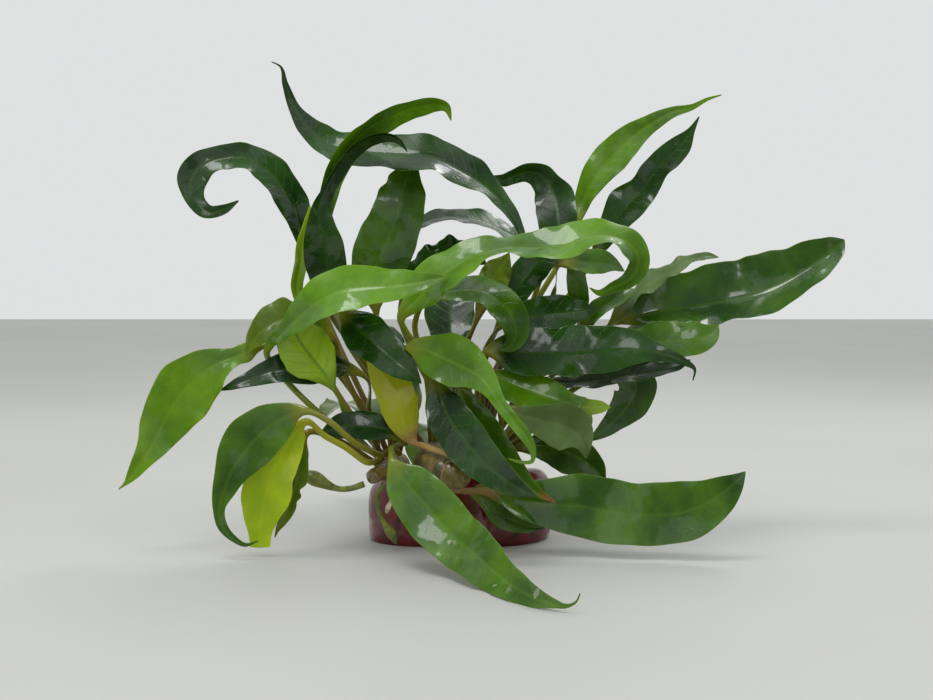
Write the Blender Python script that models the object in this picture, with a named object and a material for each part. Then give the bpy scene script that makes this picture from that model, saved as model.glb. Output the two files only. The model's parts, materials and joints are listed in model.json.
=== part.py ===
"""Anubias on stone: strap leaves on long stalks, growing from three rhizomes on a dark red stone.

The origin is the middle of the stone's flat underside, -Y is the side that the photograph shows, +Z is up.
A place that was read from the photograph is a column and a row of its 933 x 700 frame with a depth behind
the upright plane through the stone's middle. sight() carries it along its line of sight to that depth.
Leaf widths, stalk sizes and the stone are real sizes in millimetres.
"""
import math
from dataclasses import dataclass

import bmesh
import bpy
import numpy as np

MM = 0.001

# The photograph's view, in millimetres and pixels
EYE = np.array([3.8, -700.0, 120.7])
PITCH = math.radians(3.0)
FOCAL_PX = 1555.6
MIDDLE_PX = (466.5, 350.0)
FRAME_PX = (933, 700)

# Stone
STONE_HALF_WIDTH = 41.4
STONE_HALF_DEPTH = 33.0
STONE_HEIGHT = 28.2
STONE_RISE_RIGHT = 0.070
STONE_RISE_FRONT = 0.110
STONE_SIDES = 32
STONE_SQUARENESS = 2.7

# Rhizomes, roots and leaf stalks
RHIZOME_RADIUS = 5.0
STALK_RADIUS = 1.35
STALK_STATION = 17.0
FOOT_CLEARANCE = 1.2
FOOT_BACK = 33.0
FOOT_FRONT = -27.0

# Leaf blades
BLADE_HALF_THICKNESS = 0.42
BLADE_STATION = 15.0
SHEATH_LENGTH = 10.0
TOP_SPREAD = 0.38
UNDER_SPREAD = 0.46

# Laying the leaves one in front of another
CELL_PX = 2.0
LAY_GAP = 0.44
REACH_OF_PUSH = 55.0


def sight(column, row, depth):
    """The point in mm that the photograph shows at (column, row), at this depth behind the middle plane."""
    forward = np.array([0.0, math.cos(PITCH), -math.sin(PITCH)])
    upward = np.array([0.0, math.sin(PITCH), math.cos(PITCH)])
    ray = forward * FOCAL_PX + upward * (MIDDLE_PX[1] - row)
    ray[0] += column - MIDDLE_PX[0]
    return EYE + ray * ((depth - EYE[1]) / ray[1])


def picture(points):
    """Columns and rows at which the photograph would show these points, which are in mm."""
    rays = np.asarray(points) - EYE
    along = rays[..., 1] * math.cos(PITCH) - rays[..., 2] * math.sin(PITCH)
    above = rays[..., 1] * math.sin(PITCH) + rays[..., 2] * math.cos(PITCH)
    columns = MIDDLE_PX[0] + FOCAL_PX * rays[..., 0] / along
    rows = MIDDLE_PX[1] - FOCAL_PX * above / along
    return np.stack([columns, rows], axis=-1)


@dataclass
class Rhizome:
    """A creeping stem seen end on: it runs away from the viewer behind one place of the photograph."""

    name: str
    column: float
    row: float
    back: float
    front: float
    nose: tuple


@dataclass
class Leaf:
    """One leaf with its stalk.

    foot is the rhizome it grows from and the angle round it, 0 to the right and 90 on top, or else a
    column, row and depth.
    stalk lists places that the stalk passes: column, row, depth.
    blade lists the midrib from its start to the tip: column, row, depth, half width in mm, and turn, the
    angle in degrees by which the blade is rolled about its midrib. At 0 its upper face looks at the viewer,
    and at 180 its underside does. fold is the angle by which each half is raised from flat.
    """

    name: str
    finish: str
    foot: tuple
    blade: list
    stalk: tuple = ()
    fold: float = 10.0
    stalk_shows: bool = False
    upward: bool = False


RHIZOMES = {
    "left": Rhizome("rhizome_left", 392, 466, 36, -28, ((384, 470, -37), (371, 478, -43))),
    "middle": Rhizome("rhizome_middle", 434, 463, 38, -52, ((438, 468, -59), (451, 475, -63), (470, 477, -64))),
    "right": Rhizome("rhizome_right", 482, 458.8, 36, -34, ((486, 460.5, -40),)),
}

# From the farthest back to the front, the order in which the blades are laid
LEAVES = [
    Leaf("leaf_back_6", "mid", ("middle", 130), [
        (440, 440, 46, 1.8, 0), (436, 428, 55, 7, 0), (431, 424, 67, 12, 0), (426, 430, 81, 12, 0),
        (421, 442, 93, 9, 0), (417, 456, 103, 5, 0), (415, 468, 110, 0.4, 0)], stalk_shows=True, upward=True),
    Leaf("leaf_back_5", "dark", ("middle", 90), [
        (452, 385, 52, 1.8, 0), (451, 352, 59, 8, 0), (450, 320, 68, 12.5, 0), (450, 295, 79, 12.5, 0),
        (450, 278, 91, 9, 0), (451, 268, 102, 5, 0), (452, 265, 109, 0.4, 0)], stalk_shows=True, upward=True),
    Leaf("leaf_back_1", "dark", ("left", 120), [
        (418, 402, 50, 1.8, 0), (405, 374, 57, 8, 0), (388, 350, 67, 12.5, 0), (372, 332, 79, 13, 0),
        (358, 321, 91, 11, 0), (346, 317, 101, 6, 0), (339, 318, 108, 0.4, 0)], stalk_shows=True, upward=True),
    Leaf("leaf_back_2", "dark", ("right", 70), [
        (500, 402, 50, 1.8, 0), (520, 376, 58, 8, 0), (540, 354, 68, 12.5, 0), (558, 340, 80, 13, 0),
        (574, 332, 92, 11, 0), (588, 330, 102, 6, 0), (596, 333, 109, 0.4, 0)], stalk_shows=True, upward=True),
    Leaf("leaf_back_3", "mid", ("left", 170), [
        (398, 436, 44, 1.8, 0), (384, 420, 51, 7, 0), (368, 408, 61, 12, 0), (352, 402, 73, 12.5, 0),
        (338, 404, 85, 9, 0), (328, 412, 94, 5, 0), (322, 420, 100, 0.4, 0)], stalk_shows=True, upward=True),
    Leaf("leaf_back_4", "mid", ("right", 20), [
        (506, 436, 44, 1.8, 0), (524, 420, 51, 7, 0), (543, 410, 61, 12, 0), (560, 407, 73, 12.5, 0),
        (574, 411, 85, 9, 0), (584, 420, 94, 5, 0), (590, 429, 100, 0.4, 0)], stalk_shows=True, upward=True),
    Leaf("leaf_rear_dark", "dark", ("right", 80), [
        (592, 260, 44, 1.8, 10), (606, 236, 44, 5.5, 20), (626, 206, 44, 9.6, 20), (644, 188, 44, 7.8, 20),
        (656, 170, 43, 6.8, 20), (669, 157, 42, 6.8, 20), (682, 144, 41, 5.2, 15), (691, 131, 40, 2, 5),
        (699, 117, 38, 0.3, 0)]),
    Leaf("leaf_rear_lime", "bright", ("right", 100), [
        (577, 222, 37, 1.8, 0), (584, 198, 37, 4.6, 10), (592, 182, 36, 6.3, 10), (609, 160, 36, 8.3, 12),
        (631, 138, 35, 6.9, 12), (652, 123, 34, 4.4, 10), (676, 111, 33, 2.5, 10), (692, 107, 32, 1.5, 0),
        (708, 99, 31, 0.8, 0), (721, 95, 30, 0.3, 0)]),
    Leaf("leaf_rear_arch", "dark", ("right", 60), [
        (557, 262, 27, 1.8, 0), (558, 228, 26, 9, 5), (557, 210, 25, 9.8, 10), (554, 195, 24, 9.4, 15),
        (547, 183, 23, 7.8, 25), (538, 174, 22, 6.8, 30), (525, 172, 20, 4.6, 30), (512, 177, 19, 3.6, 20),
        (503, 180, 18, 3, 10), (494, 176, 17, 0.4, 0)]),
    Leaf("leaf_rear_thin", "dark", ("right", 110), [
        (528, 244, 24, 1.8, -60), (508, 233, 23, 9, -68), (490, 224, 22, 11, -70), (468, 218, 21, 10, -72),
        (445, 217, 21, 9, -70), (425, 222, 21, 6, -65), (408, 231, 21, 3, -60), (397, 240, 21, 0.4, -50)]),
    Leaf("leaf_mid_ruffled", "dark", ("middle", 60), [
        (405, 290, 20, 1.8, 30), (418, 270, 19, 6, 38), (438, 258, 18, 9, 40), (458, 254, 17, 9, 40),
        (474, 257, 17, 6, 40), (486, 264, 17, 0.5, 30)]),
    Leaf("leaf_mid_strip", "mid", ("right", 80), [
        (581, 322, 2, 1.7, 0), (580, 311, 1, 3.4, 0), (579, 296, 0, 4.6, 0), (576, 278, 0, 4.4, 0),
        (573, 260, 0, 2.6, 0), (570, 246, 0, 0.4, 0)],
        stalk=((488, 408, 10), (520, 358, 8), (556, 336, 6), (574, 331, 4))),
    Leaf("leaf_right_under", "dark", ("right", 25), [
        (622, 337, 22, 1.8, 30), (645, 329, 21, 7.5, 55), (676, 322, 20, 7, 55), (697, 317, 19, 3.5, 50),
        (708, 314, 19, 0.4, 40)]),
    Leaf("leaf_right_big", "bigwet", ("right", 45), [
        (620, 321, 12, 1.9, 20), (640, 314, 12, 8, 30), (662, 309, 11, 13.5, 32), (692, 304, 10, 17, 33),
        (728, 298, 8, 18, 33), (762, 290, 6, 17.5, 32), (790, 277, 4, 15, 28), (812, 264, 2, 11.5, 24),
        (830, 252, 1, 7.8, 15), (839, 244, 0, 4.4, 8), (844, 240, 0, 0.6, 0)], fold=24),
    Leaf("leaf_right_wavy", "grey", ("right", 45), [
        (613, 321, 2, 1.7, 20), (624, 307, 1, 6, 50), (636, 295, 0, 6.5, 64), (648, 285, 0, 7.5, 58),
        (661, 277, 0, 7.5, 58), (676, 268, -1, 7, 66), (692, 260, -1, 5, 64), (706, 256, -2, 3, 55),
        (718, 257, -2, 0.4, 40)]),
    Leaf("leaf_right_small", "mid", ("right", 60), [
        (578, 333, 0, 1.7, 20), (590, 318, -1, 5, 45), (602, 307, -2, 6.5, 50), (614, 300, -2, 6.2, 50),
        (626, 294, -2, 3.5, 50), (636, 289, -2, 0.4, 40)]),
    Leaf("leaf_right_curled", "mid", ("right", 30), [
        (606, 352, -6, 1.8, 10), (630, 345, -7, 6.5, 25), (658, 341, -8, 8.8, 25), (685, 340, -9, 9, 25),
        (702, 337, -9, 7.5, 25), (712, 332, -9, 4.5, 20), (718, 325, -8, 0.5, 10)]),
    Leaf("leaf_low_rounded", "mid", ("right", -15), [
        (518, 448, 0, 1.8, 0), (543, 446, -2, 6.5, 0), (566, 452, -5, 9.5, 0), (587, 463, -8, 7.5, 0),
        (599, 474, -10, 4, 0), (605, 483, -11, 0.5, 0)]),
    Leaf("leaf_right_blotched", "mid", ("right", 18), [
        (604, 376, -4, 1.8, 0), (621, 374, -5, 5, 0), (636, 385, -6, 9.4, 0), (630, 402, -7, 8.6, 5),
        (614, 421, -8, 5.2, 5), (599, 434, -8, 2.6, 5), (589, 441, -8, 0.4, 0)]),
    Leaf("leaf_right_strip", "dark", ("right", 32), [
        (545, 385, -10, 1.8, 10), (572, 383, -11, 5, 55), (602, 380, -12, 7, 58), (630, 375, -13, 7.5, 58),
        (655, 371, -13, 6.5, 58), (675, 367, -13, 4, 50), (690, 360, -13, 0.4, 30)]),
    Leaf("leaf_upright_broad", "mid", ("left", 60), [
        (376, 310, 4, 1.9, 0), (375, 286, 2, 9, 0), (377, 266, 0, 12, 0), (385, 246, -1, 13.7, 0),
        (394, 226, -1, 12.4, 5), (400, 206, -1, 11.4, 8), (403, 189, 0, 10.8, 10), (409, 173, 2, 5.6, 10),
        (415, 158, 4, 0.5, 10)]),
    Leaf("leaf_top_long", "dark", ("right", 95), [
        (526, 250, -2, 1.8, -20), (520, 230, -4, 2.4, -40), (510, 212, -5, 4, -48), (486, 186, -6, 8.2, -50),
        (462, 170, -6, 11.6, -50), (435, 157, -6, 12, -50), (400, 154, -5, 12.4, -50), (357, 151, -3, 12.6, -50),
        (326, 142, 0, 8.6, -40), (309, 128, 2, 6, -35), (294, 108, 3, 3.2, -30), (285, 84, 3, 1.5, -20),
        (280, 66, 2, 0.5, 0), (272, 62, 1, 0.25, 0)]),
    Leaf("leaf_mid_hooked", "mid", ("right", 75), [
        (560, 264, 8, 1.7, 30), (576, 262, 8, 6, 40), (592, 262, 7, 8, 40), (607, 264, 6, 6, 40),
        (617, 267, 5, 2.6, 30), (624, 271, 4, 0.3, 0)]),
    Leaf("leaf_mid_steep", "dark", ("right", 105), [
        (500, 322, 2, 1.8, 0), (511, 300, 1, 5, 0), (525, 277, 0, 7.4, 0), (540, 261, -1, 7, 10),
        (555, 251, -2, 4.4, 10), (567, 245, -2, 0.4, 10)]),
    Leaf("leaf_mid_sheen", "dark", ("right", 85), [
        (504, 325, -4, 1.8, 20), (521, 318, -5, 6, 25), (545, 314, -6, 8.8, 25), (567, 312, -7, 8, 25),
        (584, 310, -8, 4, 20), (596, 309, -8, 0.4, 10)]),
    Leaf("leaf_mid_crumpled", "olive", ("middle", 95), [
        (478, 316, -4, 1.7, 0), (484, 299, -5, 4, 0), (492, 282, -6, 7, 0), (500, 268, -6, 6, 0),
        (506, 259, -6, 2.5, 0), (509, 253, -6, 0.4, 0)]),
    Leaf("leaf_low_round", "lime", ("right", 25), [
        (540, 404, -16, 1.7, 0), (556, 405, -17, 3, 0), (575, 406, -18, 3.6, 0), (592, 407, -18, 3.5, 0),
        (604, 407, -18, 2.2, 0), (610, 407, -18, 0.4, 0)]),
    Leaf("leaf_low_bright", "bright", ("right", 115), [
        (484, 375, -14, 1.8, 20), (495, 378, -16, 4.6, 25), (512, 384, -18, 8.8, 25), (536, 393, -20, 9.2, 25),
        (560, 400, -21, 6.5, 20), (576, 402, -22, 3.4, 10), (586, 398, -22, 0.4, 0)]),
    Leaf("leaf_low_grey", "grey", ("right", 10), [
        (506, 408, -20, 1.8, 0), (521, 414, -22, 3.6, 0), (540, 420, -24, 7, 0), (562, 426, -26, 10.6, 0),
        (577, 434, -27, 9, 0), (584, 445, -28, 4, 0), (586, 458, -28, 0.4, 0)]),
    Leaf("leaf_right_level", "dark", ("middle", 35), [
        (486, 353, -16, 1.9, 10), (504, 352, -17, 8, 20), (530, 353, -18, 12, 28), (570, 353, -20, 12.6, 28),
        (605, 350, -21, 12, 28), (635, 349, -22, 8.6, 28), (662, 354, -22, 4, 25), (682, 361, -22, 2.1, 20),
        (695, 370, -22, 0.7, 0), (693, 380, -22, 0.3, 0)]),
    Leaf("leaf_mid_tube", "mid", ("middle", 65), [
        (430, 298, -20, 1.8, 30), (446, 293, -21, 5, 40), (465, 290, -22, 7.6, 45), (485, 293, -23, 8, 40),
        (503, 304, -24, 7.6, 20), (514, 320, -25, 6.6, 0), (516, 335, -24, 5.4, -15), (509, 347, -22, 3, -30),
        (500, 350, -20, 0.5, -30)]),
    Leaf("leaf_top_loop", "dark", ("left", 110), [
        (306, 256, 22, 1.8, -10), (300, 228, 20, 5, -20), (294, 208, 18, 8, -30), (284, 189, 17, 9, -35),
        (266, 168, 16, 9, -40), (246, 158, 15, 8.5, -45), (226, 158, 13, 7.4, -40), (205, 163, 10, 6.8, -20),
        (191, 180, 5, 7, 10), (194, 199, 0, 5, 30), (208, 212, -3, 3.4, 20), (225, 209, -5, 2.2, 10),
        (238, 201, -6, 0.4, 0)]),
    Leaf("leaf_top_sliver", "lime", ("left", 130), [
        (302, 312, 7, 1.7, 0), (297, 286, 7, 2.8, 0), (301, 262, 7, 3, 0), (303, 242, 7, 2.8, 0),
        (307, 225, 7, 2, 0), (310, 206, 7, 0.4, 0)]),
    Leaf("leaf_top_hook", "bright", ("left", 90), [
        (324, 236, -4, 1.7, 0), (327, 202, -5, 4, -20), (337, 168, -6, 6, -35), (352, 145, -7, 7.4, -50),
        (370, 128, -8, 7.6, -52), (395, 115, -9, 7.6, -52), (418, 107, -9, 6.2, -50), (436, 104, -9, 4.2, -45),
        (447, 108, -9, 2, -20), (451, 120, -9, 0.3, 0)]),
    Leaf("leaf_top_rolled", "dark", ("left", 75), [
        (332, 304, -10, 1.9, 0), (329, 285, -10, 7, 0), (327, 268, -10, 9.6, 5), (325, 248, -11, 9.8, 10),
        (320, 226, -12, 7, -10), (320, 206, -12, 5.4, -35), (327, 188, -12, 5.2, -52), (340, 166, -13, 5.6, -58),
        (355, 148, -13, 5.6, -58), (372, 138, -13, 4.8, -56), (388, 136, -13, 3.2, -50),
        (399, 141, -13, 1.6, -30), (407, 151, -13, 0.3, 0)], fold=20),
    Leaf("leaf_left_boat", "dark", ("left", 165), [
        (360, 374, -14, 1.8, -10), (341, 368, -15, 4.5, -20), (318, 366, -17, 8.6, -25), (294, 368, -19, 8.6, -25),
        (270, 372, -21, 6.2, -30), (248, 380, -22, 4, -30), (232, 386, -23, 2, -20), (221, 390, -23, 0.4, 0)]),
    Leaf("leaf_left_lime", "limebig", ("left", 150), [
        (257, 349, -27, 1.7, 0), (247, 352, -28, 4.4, 0), (236, 356, -29, 4, 0), (218, 363, -31, 7.2, 0),
        (204, 373, -33, 10.8, 5), (180, 396, -37, 13.6, 8), (161, 428, -41, 9.9, 8), (151, 447, -44, 6.5, 8),
        (140, 463, -46, 4.1, 5), (130, 478, -48, 2, 0), (125, 484, -49, 0.8, 0), (119, 489, -50, 0.25, 0)],
        stalk=((374, 433, -17), (342, 378, -21), (304, 346, -24), (276, 342, -26))),
    Leaf("leaf_left_notched", "olive", ("left", 140), [
        (334, 341, -26, 1.8, -10), (322, 330, -28, 5, -20), (304, 320, -30, 9, -30), (286, 319, -31, 10, -30),
        (272, 324, -32, 9, -30), (262, 331, -33, 6, -20), (253, 341, -33, 3.6, -10), (247, 354, -33, 0.4, 0)],
        stalk=((362, 410, -16), (343, 370, -22), (337, 350, -24))),
    Leaf("leaf_left_underside", "underside", ("left", 150), [
        (332, 386, -30, 1.8, 180), (325, 374, -32, 6, 180), (316, 363, -34, 10.4, 180), (306, 350, -36, 11.6, 180),
        (298, 338, -37, 10, 180), (293, 327, -38, 5.6, 180), (290, 319, -38, 0.5, 180)]),
    Leaf("leaf_left_tucked", "dark", ("left", 120), [
        (404, 441, -22, 1.8, -10), (392, 432, -23, 4, -20), (375, 427, -24, 6.8, -25), (355, 426, -25, 7, -25),
        (338, 427, -26, 5.6, -25), (328, 430, -26, 2.6, -20), (321, 433, -26, 0.4, 0)]),
    Leaf("leaf_centre_yellow", "yellow", (467, 464, -62), [
        (414, 442, -28, 1.8, 180), (407, 430, -29, 5.4, 180), (402, 415, -30, 7.8, 180), (397, 398, -31, 8.6, 180),
        (388, 380, -32, 7.6, 180), (377, 364, -32, 5, 180), (366, 350, -32, 0.5, 180)],
        stalk=((450, 455, -56), (432, 449, -46)), stalk_shows=True),
    Leaf("leaf_centre_dark", "dark", ("middle", 120), [
        (337, 311, -36, 1.8, 0), (347, 319, -37, 5.5, 10), (361, 331, -38, 9.6, 15), (377, 345, -39, 9.2, 15),
        (393, 359, -40, 7.6, 15), (408, 371, -40, 4.8, 10), (421, 383, -40, 0.4, 0)]),
    Leaf("leaf_left_ragged", "olive", ("left", 175), [
        (306, 434, -34, 1.7, 0), (301, 455, -36, 3.4, 0), (298, 474, -37, 4.4, 0), (294, 492, -38, 4.2, 0),
        (288, 508, -39, 3.4, 0), (282, 522, -40, 2, 0), (277, 531, -40, 0.8, 0), (275, 537, -40, 0.3, 0)]),
    Leaf("leaf_left_cut", "cut", ("left", 150), [
        (306, 422, -42, 1.8, 0), (298, 432, -43, 4, 0), (285, 451, -45, 7.6, 0), (273, 472, -47, 9.6, 0),
        (266, 494, -49, 10.8, 0), (262, 514, -51, 8.2, 0), (260, 533, -53, 5.2, 0), (260, 547, -54, 4.1, 0),
        (260, 551, -54, 3.9, 0)], stalk=((366, 462, -28), (345, 447, -33), (325, 436, -38)), stalk_shows=True),
    Leaf("leaf_left_hanging", "mid", ("left", 135), [
        (304, 411, -50, 2, 0), (287, 416, -51, 6.4, -10), (262, 432, -53, 11.2, -15), (245, 451, -55, 11.2, -15),
        (231, 472, -57, 7.4, -10), (224, 490, -58, 5, -5), (219, 509, -59, 2.6, 0), (223, 527, -60, 2.1, 0),
        (234, 539, -61, 1.4, 0), (246, 545, -61, 0.8, 0), (258, 541, -61, 0.25, 0)],
        stalk=((352, 441, -38), (330, 422, -45)), stalk_shows=True),
    Leaf("leaf_front_long", "bright", ("middle", 100), [
        (401, 318, -44, 1.9, 20), (414, 302, -45, 6, 35), (430, 285, -46, 11, 42), (458, 264, -47, 11, 48),
        (480, 253, -48, 10.2, 58), (506, 247, -49, 9.6, 66), (538, 247, -50, 10.5, 59), (562, 244, -51, 11.7, 48),
        (590, 236, -52, 11, 60), (614, 236, -53, 9.8, 60), (629, 243, -54, 8, 48), (638, 256, -53, 5, 30),
        (637, 270, -50, 4.2, 0), (628, 281, -47, 3.6, -20), (612, 288, -44, 2.6, -30), (598, 293, -42, 1.3, -20),
        (590, 288, -41, 0.3, 0)],
        stalk=((430, 420, -26), (427, 380, -32), (416, 346, -38), (405, 330, -42))),
    Leaf("leaf_front_arch", "bright", ("left", 145), [
        (267, 351, -36, 1.6, 0), (271, 343, -42, 2.2, 10), (279, 336, -50, 3.2, 20), (289, 326, -55, 4.6, 25),
        (305, 312, -58, 7.4, 30), (322, 299, -60, 10.7, 36), (341, 291, -61, 11.6, 38), (363, 288, -61, 10.8, 38),
        (396, 286, -61, 8.6, 38), (422, 282, -61, 4.6, 35), (436, 279, -61, 2.4, 30), (447, 277, -61, 0.4, 20)],
        stalk=((340, 430, -22), (290, 385, -28), (268, 358, -32))),
    Leaf("leaf_low_small", "mid", (493, 476, -39), [
        (474, 492, -38, 1.6, 0), (486, 502, -39, 3, 0), (500, 514, -40, 5.4, 0), (517, 522, -41, 4.8, 0),
        (531, 527, -42, 2.6, 0), (544, 528, -43, 0.4, 0)],
        stalk=((484, 484, -39),)),
    Leaf("leaf_right_low", "midwet", (434, 482, -58), [
        (484, 491, -47, 2, 10), (500, 494, -47, 4, 15), (518, 499, -47, 7.5, 20), (546, 504, -48, 11, 15),
        (580, 506, -50, 13.6, 10), (620, 513, -53, 13.8, 10), (655, 515, -56, 13.4, 10), (688, 511, -58, 12.6, 10),
        (712, 500, -60, 9.6, 5), (729, 488, -61, 6.2, 0), (739, 479, -62, 3, 0), (745, 472, -62, 0.4, 0)],
        stalk=((445, 488, -57), (464, 491, -52)), stalk_shows=True),
    Leaf("leaf_centre_brown_tip", "mid", ("right", 130), [
        (456, 382, -36, 1.8, 0), (464, 400, -38, 5, 0), (476, 422, -41, 7.6, 0), (490, 443, -44, 8, 0),
        (506, 462, -48, 6.6, 0), (523, 480, -54, 4, 0), (540, 494, -62, 2, 0), (555, 502, -64, 0.4, 0)]),
    Leaf("leaf_centre_broad", "dark", ("middle", 70), [
        (438, 378, -42, 1.8, 0), (440, 394, -43, 6, 0), (447, 414, -46, 9, 0), (460, 434, -50, 9.6, 0),
        (475, 453, -54, 9.4, 0), (492, 470, -59, 7.6, 0), (510, 483, -64, 5, 0), (524, 491, -67, 2.6, 0),
        (536, 496, -68, 0.4, 0)],
        stalk=((447, 425, -28), (450, 400, -33), (446, 383, -38))),
    Leaf("leaf_centre_drip", "bright", ("middle", 85), [
        (409, 348, -50, 1.9, 10), (424, 351, -51, 7.4, 20), (444, 358, -53, 11.3, 20), (463, 367, -55, 11, 20),
        (478, 375, -57, 7.6, 20), (489, 387, -59, 4.6, 15), (500, 404, -62, 2.9, 10), (515, 423, -66, 2.6, 0),
        (528, 440, -70, 2.3, 0), (533, 452, -72, 1.4, 0), (532, 461, -73, 0.9, 0), (520, 462, -73, 0.7, 0),
        (509, 459, -73, 0.3, 0)],
        stalk=((434, 425, -30), (431, 400, -34), (425, 373, -38), (415, 355, -42))),
    Leaf("leaf_front_floor", "front", ("left", 60), [
        (393, 463, -66, 2.2, 0), (402, 477, -71, 7.6, 0), (415, 493, -77, 10.6, 0), (434, 515, -84, 12, 0),
        (453, 536, -93, 11.4, 0), (475, 555, -107, 10.2, 0), (498, 575, -124, 7.8, 0), (520, 590, -142, 5.4, 0),
        (541, 600, -153, 3.2, 0), (556, 604, -158, 1.6, 0), (567, 606, -160, 0.8, 0), (576, 602, -161, 0.4, 0),
        (580, 594, -162, 0.25, 0)], stalk=((392, 448, -42),), stalk_shows=True),
]

FINISHES = {
    "dark": ((0.012, 0.065, 0.006), 0.28),
    "mid": ((0.055, 0.150, 0.008), 0.32),
    "midwet": ((0.050, 0.160, 0.008), 0.25),
    "bigwet": ((0.030, 0.120, 0.012), 0.22),
    "bright": ((0.110, 0.290, 0.006), 0.35),
    "front": ((0.130, 0.280, 0.004), 0.35),
    "grey": ((0.090, 0.200, 0.060), 0.30),
    "olive": ((0.120, 0.200, 0.010), 0.40),
    "lime": ((0.330, 0.480, 0.020), 0.40),
    "limebig": ((0.210, 0.390, 0.010), 0.35),
    "cut": ((0.480, 0.600, 0.010), 0.35),
    "underside": ((0.200, 0.340, 0.030), 0.45),
    "yellow": ((0.330, 0.360, 0.030), 0.45),
    "rhizome": ((0.200, 0.110, 0.025), 0.55),
    "root": ((0.180, 0.240, 0.020), 0.40),
    "cream": ((0.560, 0.500, 0.200), 0.50),
    "stone": ((0.110, 0.002, 0.003), 0.18),
}

# Roots: name, finish, radius, route as column, row and depth
ROOTS = [
    ("root_green", "root", 1.2, ((384, 484, -39.5), (377, 495, -41), (378, 508, -41), (382, 519, -41),
                                 (389, 531, -41), (397, 543, -41))),
    ("root_cream", "cream", 1.1, ((394, 486, -37.5), (393, 496, -39), (390, 505, -39.5), (386, 513, -39.5))),
    ("root_long", "root", 1.4, ((364, 484, -38), (352, 488, -38), (340, 489, -38), (326, 485, -38),
                                (313, 478, -37), (300, 471, -36))),
]


def spline(knots, params, where):
    """Smooth curve through the knots (rows of numbers) at these parameters, read at the values in where."""
    knots = np.asarray(knots, dtype=float)
    steps = np.diff(params)[:, None]
    slopes = np.diff(knots, axis=0) / steps
    tangents = np.empty_like(knots)
    tangents[0], tangents[-1] = slopes[0], slopes[-1]
    tangents[1:-1] = (slopes[:-1] * steps[1:] + slopes[1:] * steps[:-1]) / (steps[1:] + steps[:-1])
    index = np.clip(np.searchsorted(params, where, side="right") - 1, 0, len(params) - 2)
    span = steps[index]
    t = ((where - params[index])[:, None]) / span
    return ((1 + 2 * t) * (1 - t) ** 2 * knots[index] + t * (1 - t) ** 2 * span * tangents[index]
            + t * t * (3 - 2 * t) * knots[index + 1] + t * t * (t - 1) * span * tangents[index + 1])


def smooth_step(value):
    """0 below 0, 1 above 1, and a smooth rise between."""
    value = np.clip(value, 0.0, 1.0)
    return value * value * (3.0 - 2.0 * value)


def rhizome_foot(leaf):
    """Column, row and depth where a stalk meets its rhizome: the feet run from back to front in laying order."""
    if len(leaf.foot) == 3:
        return leaf.foot
    name, angle = leaf.foot
    depth = FOOT_BACK + (FOOT_FRONT - FOOT_BACK) * LEAVES.index(leaf) / (len(LEAVES) - 1)
    rhizome = RHIZOMES[name]
    scale = FOCAL_PX / (depth - EYE[1])
    reach = (RHIZOME_RADIUS + FOOT_CLEARANCE) * scale
    return (rhizome.column + reach * math.cos(math.radians(angle)),
            rhizome.row - reach * math.sin(math.radians(angle)), depth)


def subdivided(knots, spacing):
    """The knots with as many values between them as keep neighbours closer than the spacing."""
    values = [knots[0]]
    for low, high in zip(knots, knots[1:]):
        pieces = max(1, math.ceil((high - low) / spacing))
        values += [low + (high - low) * (k + 1) / pieces for k in range(pieces)]
    return np.array(values)


def stalk_places(leaf):
    """Points in mm along the stalk, from its foot to the start of the blade, which is left out."""
    foot = sight(*rhizome_foot(leaf))
    start = sight(*leaf.blade[0][:3])
    if leaf.stalk:
        knots = [foot] + [sight(*place) for place in leaf.stalk] + [start]
        params = np.concatenate([[0.0], np.cumsum([math.dist(a, b) for a, b in zip(knots, knots[1:])])])
        return spline(knots, params, subdivided(params, STALK_STATION)[:-1])
    angle = leaf.foot[1]
    out = np.array([math.cos(math.radians(angle)), 0.0, math.sin(math.radians(angle))])
    along = sight(*leaf.blade[1][:3]) - start
    along /= np.linalg.norm(along)
    reach = math.dist(foot, start)
    count = max(2, round(reach / STALK_STATION))
    t = np.linspace(0.0, 1.0, count + 1)[:-1, None]
    bend = 0.9 * reach
    return ((1 + 2 * t) * (1 - t) ** 2 * foot + t * (1 - t) ** 2 * bend * out
            + t * t * (3 - 2 * t) * start + t * t * (t - 1) * bend * along)


def leaf_stations(leaf):
    """Midrib points, half widths, turns and distance from the blade's start at each station of a leaf."""
    stalk = stalk_places(leaf)
    blade = np.array([sight(*row[:3]) for row in leaf.blade])
    sizes = np.array([row[3:] for row in leaf.blade], dtype=float)
    knots = np.concatenate([[0.0], np.cumsum(np.linalg.norm(np.diff(blade, axis=0), axis=1))])
    where = subdivided(knots, BLADE_STATION)
    points = spline(blade, knots, where)
    half = np.interp(where, knots, sizes[:, 0])
    turn = np.interp(where, knots, sizes[:, 1])
    count = len(stalk)
    points = np.concatenate([stalk, points])
    half = np.concatenate([np.full(count, STALK_RADIUS), half])
    turn = np.concatenate([np.full(count, turn[0]), turn])
    past = np.concatenate([np.zeros(count), where])
    return points, half, turn, past, count


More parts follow.
